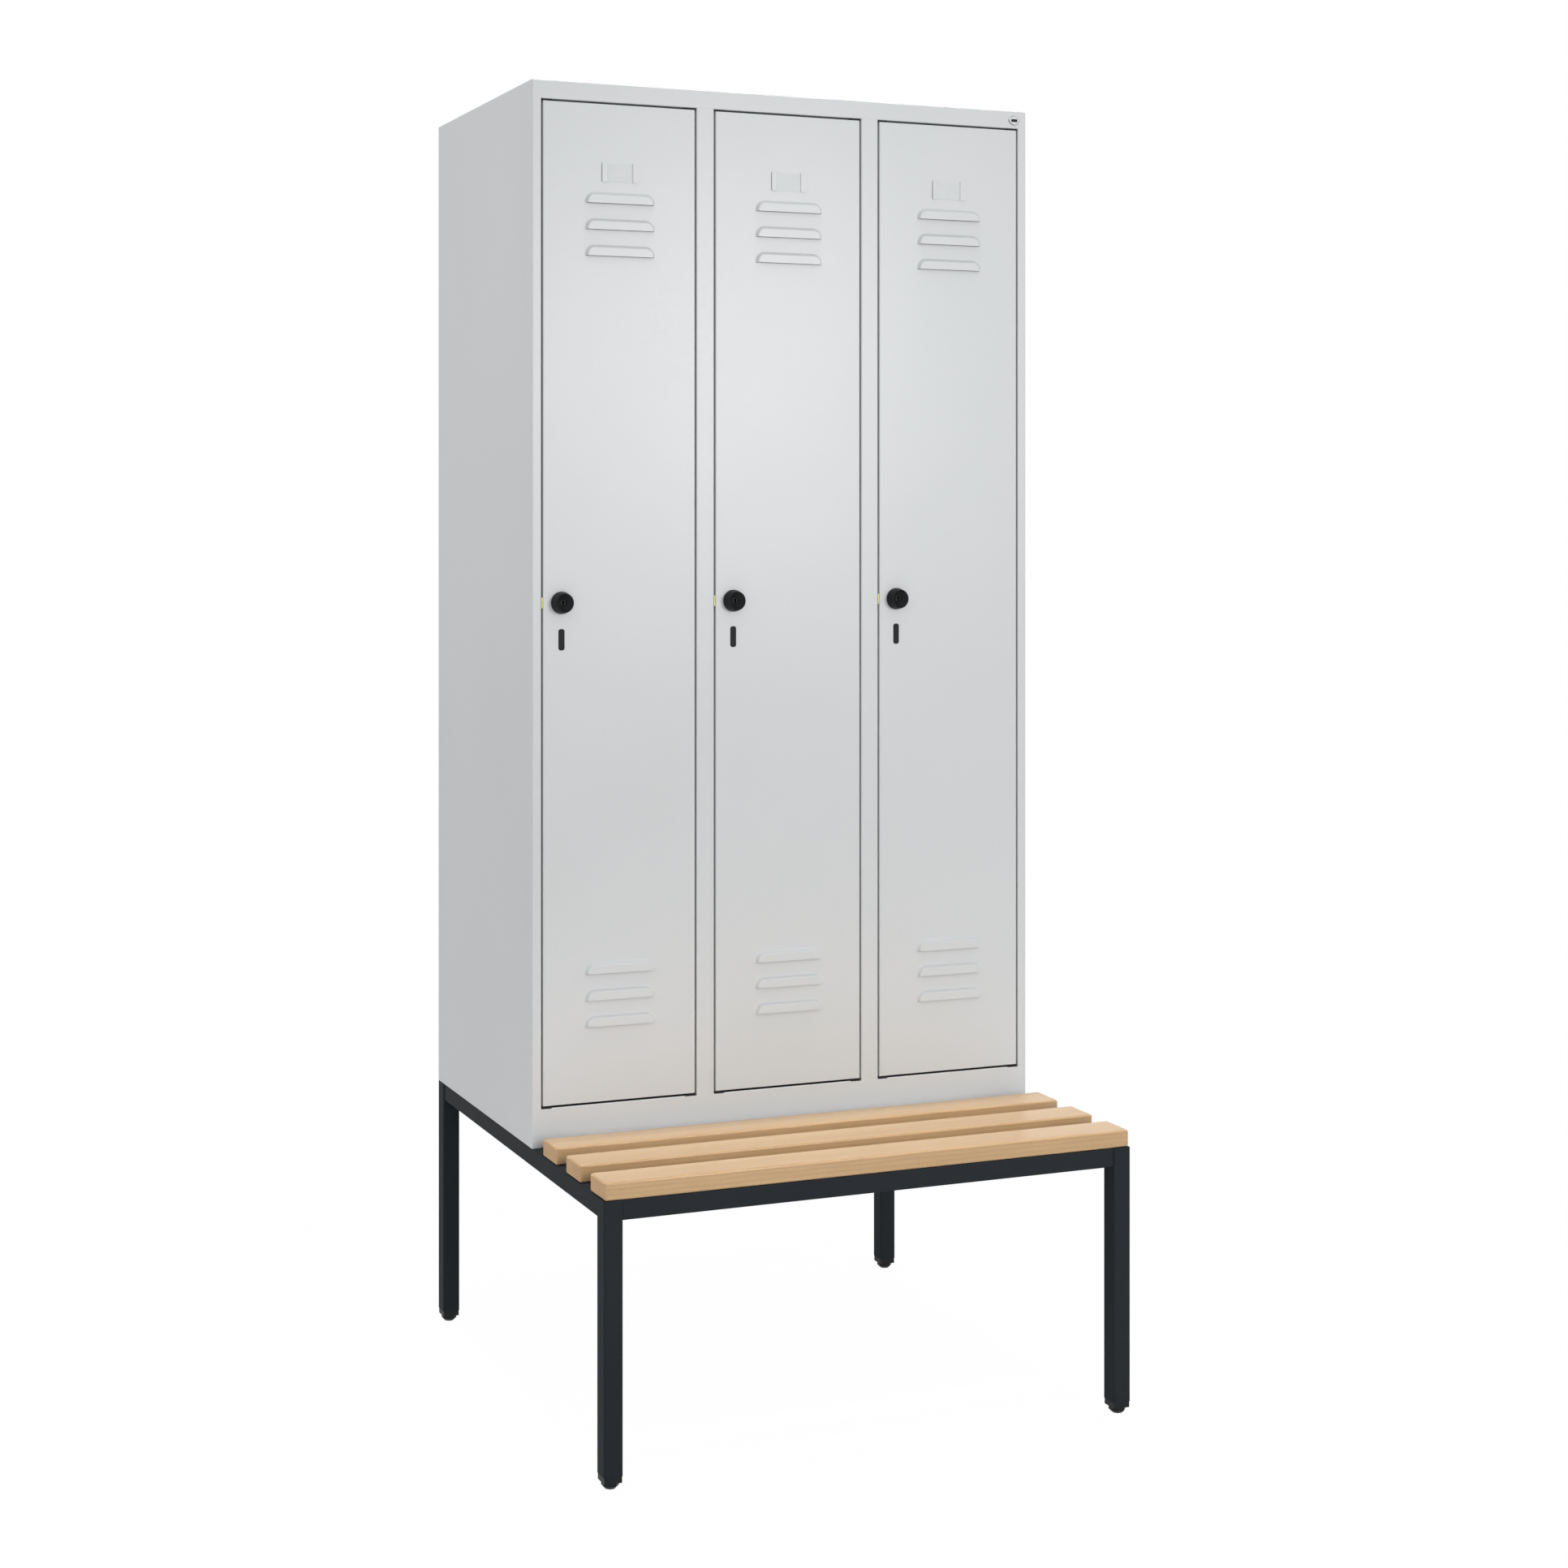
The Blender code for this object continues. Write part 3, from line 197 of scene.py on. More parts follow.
# %% [markdown]
# ## Building finishes from nodes
# Every finish starts from the same shader. Its patterns are placed by object coordinates in
# metres, so that a grain of one millimetre is one millimetre on every piece.

# %% Helpers for finishes
def new_finish(name, roughness, metallic=0.0, specular=0.5):
    """A material with the values that are the same all over the surface."""
    material = bpy.data.materials.new(name)
    material.use_nodes = True
    shader = material.node_tree.nodes["Principled BSDF"]
    shader.inputs["Roughness"].default_value = roughness
    shader.inputs["Metallic"].default_value = metallic
    shader.inputs["Specular IOR Level"].default_value = specular
    return material


def join(material, source, target, socket):
    """Links an output to a named input of a node."""
    material.node_tree.links.new(source, target.inputs[socket])


def placed(material, scale=(1, 1, 1), location=(0, 0, 0)):
    """Object coordinates, stretched and moved by a Mapping node."""
    nodes = material.node_tree.nodes
    coordinates = nodes.new("ShaderNodeTexCoord")
    mapping = nodes.new("ShaderNodeMapping")
    mapping.inputs["Scale"].default_value = scale
    mapping.inputs["Location"].default_value = location
    join(material, coordinates.outputs["Object"], mapping, "Vector")
    return mapping.outputs["Vector"]


def noise(material, place, scale, detail):
    """A soft random pattern from 0 to 1."""
    node = material.node_tree.nodes.new("ShaderNodeTexNoise")
    node.inputs["Scale"].default_value = scale
    node.inputs["Detail"].default_value = detail
    join(material, place, node, "Vector")
    return node.outputs["Fac"]


def ramp(material, value, low, high, first, last):
    """Turns a pattern into a colour: first up to low, last from high on."""
    node = material.node_tree.nodes.new("ShaderNodeValToRGB")
    node.color_ramp.elements[0].position = low
    node.color_ramp.elements[1].position = high
    node.color_ramp.elements[0].color = first
    node.color_ramp.elements[1].color = last
    join(material, value, node, "Fac")
    return node.outputs["Color"]


def blended(material, mode, share, first, second):
    """Mixes two colours. The share is a number, or the output of a pattern."""
    node = material.node_tree.nodes.new("ShaderNodeMix")
    node.data_type = "RGBA"
    node.blend_type = mode
    sockets = {"A": node.inputs[6], "B": node.inputs[7]}
    if isinstance(share, float):
        node.inputs[0].default_value = share
    else:
        material.node_tree.links.new(share, node.inputs[0])
    for key, colour in (("A", first), ("B", second)):
        if isinstance(colour, tuple):
            sockets[key].default_value = colour
        else:
            material.node_tree.links.new(colour, sockets[key])
    return node.outputs[2]


def coloured(material, colour):
    """Gives a pattern's colour to the shader."""
    join(material, colour, material.node_tree.nodes["Principled BSDF"], "Base Color")


def textured(material, height, distance, strength):
    """Lets a pattern stand proud by a distance in metres."""
    nodes = material.node_tree.nodes
    bump = nodes.new("ShaderNodeBump")
    bump.inputs["Distance"].default_value = distance
    bump.inputs["Strength"].default_value = strength
    join(material, height, bump, "Height")
    join(material, bump.outputs["Normal"], nodes["Principled BSDF"], "Normal")


def uneven_gloss(material, value, low, high):
    """Lets the roughness wander between two values with a pattern."""
    nodes = material.node_tree.nodes
    span = nodes.new("ShaderNodeMapRange")
    span.inputs["To Min"].default_value = low
    span.inputs["To Max"].default_value = high
    join(material, value, span, "Value")
    join(material, span.outputs["Result"], nodes["Principled BSDF"], "Roughness")


print("Helpers for finishes are ready")

# %% [markdown]
# ## Powder coat
# The cabinet is coated with baked powder: an even light grey with a faint orange peel, a wave
# of about a millimetre that breaks up reflections. The frame wears the same kind of coat in
# black grey, a little rougher. Noise in the bump gives the wave, and a very slow noise keeps
# the colour of large panels from being perfectly even.

# %% Powder coat
SOFT = 2.0
TINT_BAND = (0.3, 0.7)
CLOUD_SCALE = 2.5
PEEL_SCALE = 850.0
PEEL_STRENGTH = 0.6
GLOSS_SCALE = 160.0
GLOSS_DRIFT = 0.04


def powder_coat(name, light, dark, gloss, peel, specular):
    """A baked powder finish between two near colours."""
    material = new_finish(name, gloss, specular=specular)
    place = placed(material)
    cloud = noise(material, place, CLOUD_SCALE, SOFT)
    coloured(material, ramp(material, cloud, *TINT_BAND, dark, light))
    wave = noise(material, place, PEEL_SCALE, SOFT)
    patches = noise(material, place, GLOSS_SCALE, SOFT)
    uneven_gloss(material, patches, gloss - GLOSS_DRIFT, gloss + GLOSS_DRIFT)
    textured(material, wave, peel, PEEL_STRENGTH)
    return material


grey_coat = powder_coat(
    "light_grey_coat", seen(212, 213, 214), seen(208, 210, 210),
    gloss=0.38, peel=0.00006, specular=1.0,
)
black_coat = powder_coat(
    "black_grey_coat", seen(43, 47, 50), seen(40, 43, 47),
    gloss=0.55, peel=0.00008, specular=0.04,
)
print("Made", grey_coat.name, "and", black_coat.name)

# %% [markdown]
# ## Moulded plastic
# Knobs, buffers, hinge blocks, lock cases and feet are moulded in black. The mould leaves a
# fine spark texture, much finer than the orange peel of the coat. The label cards and the
# badge's face take the same recipe in a pale tint.

# %% Moulded plastic
MOULD_TINT_SCALE = 40.0
SPARK_SCALE = 2600.0
SPARK_DETAIL = 3.0
SPARK_HEIGHT = 0.00004
SPARK_STRENGTH = 0.5


def moulded(name, light, dark, gloss, specular):
    """Plastic with a fine spark texture from its mould."""
    material = new_finish(name, gloss, specular=specular)
    place = placed(material)
    tint = noise(material, place, MOULD_TINT_SCALE, SOFT)
    coloured(material, ramp(material, tint, *TINT_BAND, dark, light))
    spark = noise(material, place, SPARK_SCALE, SPARK_DETAIL)
    textured(material, spark, SPARK_HEIGHT, SPARK_STRENGTH)
    return material


black_plastic = moulded(
    "moulded_black", seen(39, 40, 41), seen(34, 35, 36), gloss=0.42, specular=0.12,
)
knob_plastic = moulded(
    "knob_black", seen(34, 35, 36), seen(30, 31, 32), gloss=0.36, specular=0.1,
)
# The keyhole's walls take a blacker tint than the knob: painted shade inside the hole.
keyhole_painted_shade = moulded(
    "keyhole_painted_shade", seen(14, 14, 14), seen(10, 10, 10), gloss=0.6, specular=0.05,
)
card_plastic = moulded(
    "card_plastic", seen(220, 221, 222), seen(217, 219, 219), gloss=0.35, specular=0.4,
)
print("Made", black_plastic.name, knob_plastic.name, keyhole_painted_shade.name, card_plastic.name)

# %% [markdown]
# ## Plated steel
# The bolts are zinc plated with a yellow passivation, which drifts between gold and green.
# The clothes rails, their flanges and the screws are bright zinc. Both are brushed along
# nothing in particular: the drum that they are plated in leaves small random scratches.

# %% Plated steel
PLATE_TINT_SCALE = 90.0
PLATE_TINT_DETAIL = 3.0
PLATE_TINT_BAND = (0.35, 0.65)
SCRATCH_STRETCH = (60, 1400, 900)
SCRATCH_SMOOTHER = 0.06
SCRATCH_ROUGHER = 0.1
SCRATCH_HEIGHT = 0.00003
SCRATCH_STRENGTH = 0.3


def plated(name, light, dark, gloss):
    """Zinc plate that drifts between two tints, with fine scratches."""
    material = new_finish(name, gloss, metallic=1.0)
    place = placed(material)
    tint = noise(material, place, PLATE_TINT_SCALE, PLATE_TINT_DETAIL)
    coloured(material, ramp(material, tint, *PLATE_TINT_BAND, dark, light))
    scratches = noise(material, placed(material, SCRATCH_STRETCH), 1.0, SOFT)
    uneven_gloss(material, scratches, gloss - SCRATCH_SMOOTHER, gloss + SCRATCH_ROUGHER)
    textured(material, scratches, SCRATCH_HEIGHT, SCRATCH_STRENGTH)
    return material


yellow_zinc = plated("yellow_zinc_plate", seen(184, 180, 110), seen(168, 172, 108), gloss=0.45)
bright_zinc = plated("bright_zinc_plate", seen(205, 207, 210), seen(180, 183, 187), gloss=0.3)
print("Made", yellow_zinc.name, bright_zinc.name)

# %% [markdown]
# ## Lacquered beech
# Beech is a fine, even wood. What shows is the growth rings, as long soft lines, a fibre much
# finer than those, and short dark flecks that all point along the board. All three come from
# one solid pattern round a pith line that runs beside the board, so the lines of the top go
# over the edge and end as arcs on the sawn end, as they do in real wood. Each slat has its
# own pith line, because each is cut from another board.

# %% Lacquered beech
BARE_SPECULAR = 0.1
LACQUER_ROUGHNESS = 0.14
LACQUER_IOR = 1.5
RING_SCALE = 62.0
RING_STRETCH = 0.05
RING_DISTORTION = 2.2
RING_DETAIL = 2.0
RING_DETAIL_SCALE = 0.35
FIBRE = (9, 620, 620)
FIBRE_DETAIL = 3.0
FIBRE_BAND = (0.3, 0.72)
FIBRE_SHARE = 0.55
FIBRE_HEIGHT = 0.00004
FIBRE_STRENGTH = 0.35
BROAD = (0.9, 16, 16)
BROAD_SHARE = 0.5
BROAD_TINT = seen(232, 222, 214)
FLECK = (150, 1250, 1250)
FLECK_BAND = (0.66, 0.74)
FLECK_SHARE = 0.4
FLECK_TINT = seen(176, 140, 110)


def beech(name, pith, light, dark, gloss, lacquer):
    """Beech with its rings round a line along X that passes through the pith's place."""
    material = new_finish(name, gloss, specular=BARE_SPECULAR)
    shader = material.node_tree.nodes["Principled BSDF"]
    shader.inputs["Coat Weight"].default_value = lacquer
    shader.inputs["Coat Roughness"].default_value = LACQUER_ROUGHNESS
    shader.inputs["Coat IOR"].default_value = LACQUER_IOR
    shift = (pith[0] * RING_STRETCH, -pith[1], -pith[2])
    along = placed(material, (RING_STRETCH, 1, 1), shift)
    rings = material.node_tree.nodes.new("ShaderNodeTexWave")
    rings.wave_type = "RINGS"
    rings.rings_direction = "X"
    rings.wave_profile = "SAW"
    rings.inputs["Scale"].default_value = RING_SCALE
    rings.inputs["Distortion"].default_value = RING_DISTORTION
    rings.inputs["Detail"].default_value = RING_DETAIL
    rings.inputs["Detail Scale"].default_value = RING_DETAIL_SCALE
    join(material, along, rings, "Vector")
    fibre = noise(material, placed(material, FIBRE), 1.0, FIBRE_DETAIL)
    broad = noise(material, placed(material, BROAD, (pith[0], 0, 0)), 1.0, SOFT)
    fleck = noise(material, placed(material, FLECK), 1.0, 1.0)
    wood = blended(material, "MIX", rings.outputs["Fac"], light, dark)
    fibres = ramp(material, fibre, *FIBRE_BAND, light, dark)
    wood = blended(material, "MIX", FIBRE_SHARE, wood, fibres)
    clouds = ramp(material, broad, *TINT_BAND, BROAD_TINT, WHITE)
    wood = blended(material, "MULTIPLY", BROAD_SHARE, wood, clouds)
    flecks = ramp(material, fleck, *FLECK_BAND, WHITE, FLECK_TINT)
    wood = blended(material, "MULTIPLY", FLECK_SHARE, wood, flecks)
    coloured(material, wood)
    textured(material, fibre, FIBRE_HEIGHT, FIBRE_STRENGTH)
    return material


slat_finishes = {}
PITH_LINES = {
    "front": (0.31, -0.29, 0.33),
    "middle": (0.84, -0.36, 0.27),
    "back": (1.47, -0.06, 0.22),
}
for name, pith in PITH_LINES.items():
    face = beech(
        "beech_" + name, pith, seen(205, 174, 132), seen(189, 154, 112), gloss=0.36, lacquer=0.5,
    )
    # The sawn ends' tints are paler than the faces': painted light that brightens the ends.
    sawn = beech(
        "beech_end_" + name, pith, seen(233, 195, 153), seen(212, 172, 130), gloss=0.6, lacquer=0.0,
    )
    slat_finishes[name] = (face, sawn)
print("Made finishes for", len(slat_finishes), "slats")

# %% [markdown]
# ## Dressing the solids that stay
# Most solids already have their final shape. They keep it, and only get the better finish
# that belongs to the slot they were packed with.

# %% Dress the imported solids
finish_of_slot = {
    "light_grey_powder_coat": grey_coat,
    "black_grey_powder_coat": black_coat,
    "black_plastic": black_plastic,
    "yellow_zinc": yellow_zinc,
    "bright_zinc": bright_zinc,
    "lacquered_beech": slat_finishes["front"][0],
}
dressed = 0
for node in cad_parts.values():
    for holder in node.material_slots:
        slot_name = holder.material.name.split(".")[0]
        if slot_name in finish_of_slot and holder.material != finish_of_slot[slot_name]:
            holder.material = finish_of_slot[slot_name]
            dressed += 1
print("Dressed", dressed, "of", len(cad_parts), "solids")

# %% [markdown]
# ## Helpers for pieces
# A piece is built as a bmesh in its final place and handed over with its finishes and the body
# that it rides on. Faces that meet at less than 35 degrees are shaded as one curve, and large
# flat faces keep their own direction.

# %% Helpers for pieces
SHARP = math.radians(35)
WELD = 0.00001
QUARTER = math.pi / 2
TO_FRONT = Matrix.Rotation(QUARTER, 3, "X")


def mesh_of(bm, name):
    """Turns a bmesh into a mesh with clean doubles and faces that point out."""
    bmesh.ops.remove_doubles(bm, verts=bm.verts, dist=WELD)
    bmesh.ops.recalc_face_normals(bm, faces=bm.faces)
    mesh = bpy.data.meshes.new(name)
    bm.to_mesh(mesh)
    bm.free()
    return mesh


def walled(mesh, thickness):
    """Gives an open sheet its thickness, on the side away from its face."""
    helper = bpy.data.objects.new("walled", mesh)
    bpy.context.scene.collection.objects.link(helper)
    wall = helper.modifiers.new("wall", "SOLIDIFY")
    wall.thickness = thickness
    wall.offset = -1
    wall.use_even_offset = True
    graph = bpy.context.evaluated_depsgraph_get()
    result = bpy.data.meshes.new_from_object(helper.evaluated_get(graph))
    result.name = mesh.name
    bpy.data.objects.remove(helper)
    return result


def finished(name, mesh, finishes, body):
    """Makes the object of a mesh that is already in its place."""
    for material in finishes:
        mesh.materials.append(material)
    mesh.shade_smooth()
    mesh.set_sharp_from_angle(angle=SHARP)
    piece = bpy.data.objects.new(name, mesh)
    bpy.context.scene.collection.objects.link(piece)
    weigh = piece.modifiers.new("flat faces stay flat", "WEIGHTED_NORMAL")
    weigh.keep_sharp = True
    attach(piece, body)
    return piece


def moved(bm, verts, shift):
    """Moves points by a shift."""
    bmesh.ops.translate(bm, verts=verts, vec=shift)


def turned(bm, verts, turn):
    """Turns points round the origin."""
    bmesh.ops.rotate(bm, verts=verts, cent=(0, 0, 0), matrix=turn)


def stood_up(bm, verts, centre):
    """Turns flat points upright, to face the front, and moves them to their place."""
    turned(bm, verts, TO_FRONT)
    moved(bm, verts, centre)


def block(bm, low, high):
    """Adds a block between two corners and returns its corner points."""
    low, high = Vector(low), Vector(high)
    verts = bmesh.ops.create_cube(bm, size=1)["verts"]
    bmesh.ops.scale(bm, verts=verts, vec=high - low)
    moved(bm, verts, (low + high) / 2)
    return verts


def edges_of(verts):
    """The edges whose two ends are both among these points."""
    wanted = set(verts)
    return list({edge for vert in verts for edge in vert.link_edges if wanted.issuperset(edge.verts)})


def rounded(bm, edges, radius, segments):
    """Rounds edges with a bevel."""
    bmesh.ops.bevel(
        bm, geom=edges, offset=radius, offset_type="OFFSET", segments=segments, profile=0.5,
        affect="EDGES", material=-1,
    )


def rounded_corners(bm, verts, radius, segments):
    """Rounds the corner points of a flat outline, and returns the new points."""
    return bmesh.ops.bevel(
        bm, geom=verts, offset=radius, offset_type="OFFSET", segments=segments, profile=0.5,
        affect="VERTICES", material=-1,
    )["verts"]


def rounded_block(bm, low, high, radius, segments):
    """Adds a block with all its edges rounded."""
    rounded(bm, edges_of(block(bm, low, high)), radius, segments)


print("Helpers for pieces are ready")

# %% [markdown]
# ## The slats
# Each slat is a planed board with softly rounded edges, lying on the side rails. A beveled block
# gives that shape. The two sawn ends get a finish of their own, rougher and uncoated, as end grain
# drinks the lacquer in, and paler than the faces: that paleness is painted light on the ends.

# %% Slats
SLAT_ROUND = 0.0035
SLAT_SEGMENTS = 4
END_FACING = 0.8


def slat(name):
    """One board over its solid, with its sawn ends in their own finish."""
    low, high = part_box("slat_" + name)
    bm = bmesh.new()
    rounded_block(bm, low, high, SLAT_ROUND, SLAT_SEGMENTS)
    # End faces take the sawn finish, whose paler tint is painted light.
    for face in bm.faces:
        if abs(face.normal.x) > END_FACING:
            face.material_index = 1
    board = finished(
        "board_" + name, mesh_of(bm, "board_" + name), slat_finishes[name], "root",
    )
    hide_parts("slat_" + name)
    return board


boards = [slat(name) for name in PITH_LINES]
print("Made", len(boards), "boards of", len(boards[0].data.polygons), "faces each")

# %% [markdown]
# ## The doors
# A door is one steel sheet: a flat front with louvres pressed out of it, folded back all
# round. Booleans could cut it, but then every louvre would be a patch of odd triangles. Here
# a flat blank for each louvre is drawn first and the front is filled in around the blanks.
# Then each blank is inset ring by ring and lifted, which is just what a press tool does, and
# the wall under it is removed to open its mouth.

# %% Sizes of a door
cabinet_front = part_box("side_wall_left")[0].y
SHEET = 0.001
FOLD = 0.0015
FOLD_SEGMENTS = 4
DOOR_DEPTH = 0.018
DOOR_GAP = 0.003
LOUVRE_WIDTH = 0.122
LOUVRE_HEIGHT = 0.018
LOUVRE_CORNER = 0.0165
LOUVRE_CORNER_SEGMENTS = 10
LOUVRE_SLOPE = 0.0055
LOUVRE_DEPTH = 0.0055
LOUVRE_RINGS = 7
LOUVRE_PITCH = 0.0423
LOUVRE_GROUPS = (0.1638, 1.3999)
SPINDLE_HOLE = 0.0063
SPINDLE_HOLE_SEGMENTS = 32
BOSS_WIDTH = 0.0106
BOSS_HEIGHT = 0.0342
BOSS_CORNER = 0.0039
BOSS_CORNER_SEGMENTS = 6
LOCK_INSET = 0.0312
LOCK_ABOVE_BOTTOM = 0.8015
BOSS_BELOW_LOCK = 0.059
BOLT_SLOT_FRONT = 0.0087
BOLT_SLOT_BACK = 0.0133
BOLT_SLOT_REACH = 0.0093
STRAIGHT = 0.99
print("The doors' front is at y =", round(cabinet_front, 4))

# %% Openings in a sheet
def flat_blank(bm, centre, width, height):
    """An upright rectangle that faces the front. Returns its face."""
    made = bmesh.ops.create_grid(bm, x_segments=1, y_segments=1, size=0.5)["verts"]
    bmesh.ops.scale(bm, verts=made, vec=(width, height, 1))
    stood_up(bm, made, centre)
    return made[0].link_faces[0]


def circle_points(bm, radius, segments):
    """The points of a flat circle, turned by half a step so that an edge is at its bottom."""
    made = bmesh.ops.create_circle(bm, segments=segments, radius=radius)["verts"]
    turned(bm, made, Matrix.Rotation(math.pi / segments, 3, "Z"))
    return made


def round_outline(bm, centre, radius, segments):
    """The edges of an upright circle that faces the front."""
    made = circle_points(bm, radius, segments)
    stood_up(bm, made, centre)
    return edges_of(made)


def slot_outline(bm, centre, width, height, radius, segments):
    """The edges of an upright rectangle with round corners."""
    blank = flat_blank(bm, centre, width, height)
    corners = rounded_corners(bm, list(blank.verts), radius, segments)
    edges = edges_of(corners)
    bmesh.ops.delete(bm, geom=list(corners[0].link_faces), context="FACES_ONLY")
    return edges


def filled_round(bm, face, outlines):
    """Replaces a flat face by one with the outlines left open in it."""
    rim = list(face.edges) + [edge for outline in outlines for edge in outline]
    normal = face.normal.copy()
    bmesh.ops.delete(bm, geom=[face], context="FACES_ONLY")
    bmesh.ops.triangle_fill(bm, edges=rim, use_beauty=True, use_dissolve=False, normal=normal)


def facing(bm, direction):
    """The largest face that looks in a direction."""
    bm.normal_update()
    wanted = Vector(direction)
    looking = [face for face in bm.faces if face.normal.dot(wanted) > STRAIGHT]
    return max(looking, key=lambda face: face.calc_area())


print("Helpers for sheet openings are ready")

# %% Pressed louvres
def press_louvre(bm, blank, bottom):
    """Lifts a louvre out of its flat blank and opens the mouth along its bottom."""
    for ring in range(1, LOUVRE_RINGS + 1):
        bmesh.ops.inset_region(
            bm, faces=[blank], thickness=LOUVRE_SLOPE / LOUVRE_RINGS, use_even_offset=True,
            use_boundary=True,
        )
        lift = LOUVRE_DEPTH * (1 - math.cos(math.pi * ring / LOUVRE_RINGS)) / 2
        for vert in blank.verts:
            vert.co.y = cabinet_front - lift
        for vert in sorted(blank.verts, key=lambda point: point.co.z)[:2]:
            vert.co.z = bottom
    mouth = [
        face for face in bm.faces
        if all(abs(vert.co.z - bottom) < WELD for vert in face.verts)
    ]
    bmesh.ops.delete(bm, geom=mouth, context="FACES")


def louvre_blanks(bm, middle, door_bottom):
    """Flat blanks for all louvres of a door, as pairs of a face and its bottom height."""
    blanks = []
    for group in LOUVRE_GROUPS:
        for row in (-1, 0, 1):
            bottom = door_bottom + group + row * LOUVRE_PITCH
            centre = (middle, cabinet_front, bottom + LOUVRE_HEIGHT / 2)
            blank = flat_blank(bm, centre, LOUVRE_WIDTH, LOUVRE_HEIGHT)
            corners = sorted(blank.verts, key=lambda point: point.co.z)
            rounded_corners(bm, corners[2:], LOUVRE_CORNER, LOUVRE_CORNER_SEGMENTS)
            blanks.append((corners[0].link_faces[0], bottom))
    return blanks


def door_sheet(name):
    """The folded and pressed sheet of one door, in the place of its solid."""
    low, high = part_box("door_panel_" + name)
    bm = bmesh.new()
    block(bm, (low.x, cabinet_front, low.z), (high.x, cabinet_front + DOOR_DEPTH, high.z))
    bmesh.ops.delete(bm, geom=[facing(bm, (0, 1, 0))], context="FACES_ONLY")
    rounded(bm, list(facing(bm, (0, -1, 0)).edges), FOLD, FOLD_SEGMENTS)
    front = facing(bm, (0, -1, 0))
    blanks = louvre_blanks(bm, (low.x + high.x) / 2, low.z)
    lock = (low.x + LOCK_INSET, cabinet_front, low.z + LOCK_ABOVE_BOTTOM)
    boss = (lock[0], lock[1], lock[2] - BOSS_BELOW_LOCK)
    outlines = [list(blank.edges) for blank, bottom in blanks]
    outlines.append(round_outline(bm, lock, SPINDLE_HOLE, SPINDLE_HOLE_SEGMENTS))
    outlines.append(
        slot_outline(bm, boss, BOSS_WIDTH, BOSS_HEIGHT, BOSS_CORNER, BOSS_CORNER_SEGMENTS)
    )
    filled_round(bm, front, outlines)
    for blank, bottom in blanks:
        press_louvre(bm, blank, bottom)
    side = facing(bm, (-1, 0, 0))
    window = flat_blank(bm, (0, 0, 0), BOLT_SLOT_BACK - BOLT_SLOT_FRONT, 2 * BOLT_SLOT_REACH)
    corners = list(window.verts)
    turned(bm, corners, Matrix.Rotation(QUARTER, 3, "Z"))
    slot_y = cabinet_front + (BOLT_SLOT_FRONT + BOLT_SLOT_BACK) / 2
    moved(bm, corners, (low.x, slot_y, lock[2]))
    edges = list(window.edges)
    bmesh.ops.delete(bm, geom=[window], context="FACES_ONLY")
    filled_round(bm, side, [edges])
    return walled(mesh_of(bm, "door_" + name), SHEET)


doors = []
for name in BAYS:
    door = finished(
        "door_" + name, door_sheet(name), (grey_coat,), "door_" + name,
    )
    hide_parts("door_panel_" + name)
    doors.append(door)
print("Made", len(doors), "doors of", len(doors[0].data.polygons), "faces each")

# %% [markdown]
# ## The label holders
# Over the upper louvres two small lips stand out of the door and turn inwards. A card slides
# in between them from above. Each lip is a strip whose fold gets a small radius, with its free
# corners clipped round. The card is left blank, with a hollow in its top edge for a fingertip.

# %% Label holders
LABEL_WIDTH = 0.062
LABEL_HEIGHT = 0.031
LABEL_ABOVE_BOTTOM = 1.4769
LIP_REACH = 0.010
LIP_POCKET = 0.0012
LIP_SHEET = 0.0008
LIP_FOLD = 0.0018
LIP_FOLD_SEGMENTS = 5
LIP_CORNER = 0.0015
LIP_CORNER_SEGMENTS = 4
CARD_COLUMNS = 16
CARD_SIDE_SHARE = 1.5
CARD_SHORTER = 0.001
CARD_HOLLOW = 0.0022
CARD_HOLLOW_SHARE = 0.72
CARD_FRONT = 0.0006
CARD_SHEET = 0.0004


def label_lip(bm, middle, bottom, side):
    """One lip: a flat strip in front of the card, and the fold that joins it to the door."""
    strip_y = cabinet_front - LIP_POCKET - LIP_SHEET
    outer = middle + side * LABEL_WIDTH / 2
    centre = (outer - side * LIP_REACH / 2, strip_y, bottom + LABEL_HEIGHT / 2)
    strip = flat_blank(bm, centre, LIP_REACH, LABEL_HEIGHT)
    corners = sorted(strip.verts, key=lambda point: -side * point.co.x)
    free, folded = corners[:2], corners[2:]
    fold = edges_of(folded)
    grown = bmesh.ops.extrude_edge_only(bm, edges=fold)["geom"]
    wall = [part for part in grown if isinstance(part, bmesh.types.BMVert)]
    moved(bm, wall, (0, LIP_POCKET + LIP_SHEET, 0))
    rounded_corners(bm, free, LIP_CORNER, LIP_CORNER_SEGMENTS)
    rounded(bm, fold, LIP_FOLD, LIP_FOLD_SEGMENTS)


def blank_card(name):
    """A blank card behind the lips, with a hollow top edge."""
    low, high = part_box("door_panel_" + name)
    middle = (low.x + high.x) / 2
    bottom = low.z + LABEL_ABOVE_BOTTOM
    half = LABEL_WIDTH / 2 - LIP_SHEET * CARD_SIDE_SHARE
    bm = bmesh.new()
    sheet = bmesh.ops.create_grid(bm, x_segments=CARD_COLUMNS, y_segments=1, size=0.5)["verts"]
    bmesh.ops.scale(bm, verts=sheet, vec=(2 * half, LABEL_HEIGHT - CARD_SHORTER, 1))
    for vert in sheet:
        if vert.co.y > 0:
            vert.co.y -= CARD_HOLLOW * max(0, 1 - (vert.co.x / (half * CARD_HOLLOW_SHARE)) ** 2)
    stood_up(bm, sheet, (middle, cabinet_front - CARD_FRONT, bottom + LABEL_HEIGHT / 2))
    return walled(mesh_of(bm, "card_" + name), CARD_SHEET)


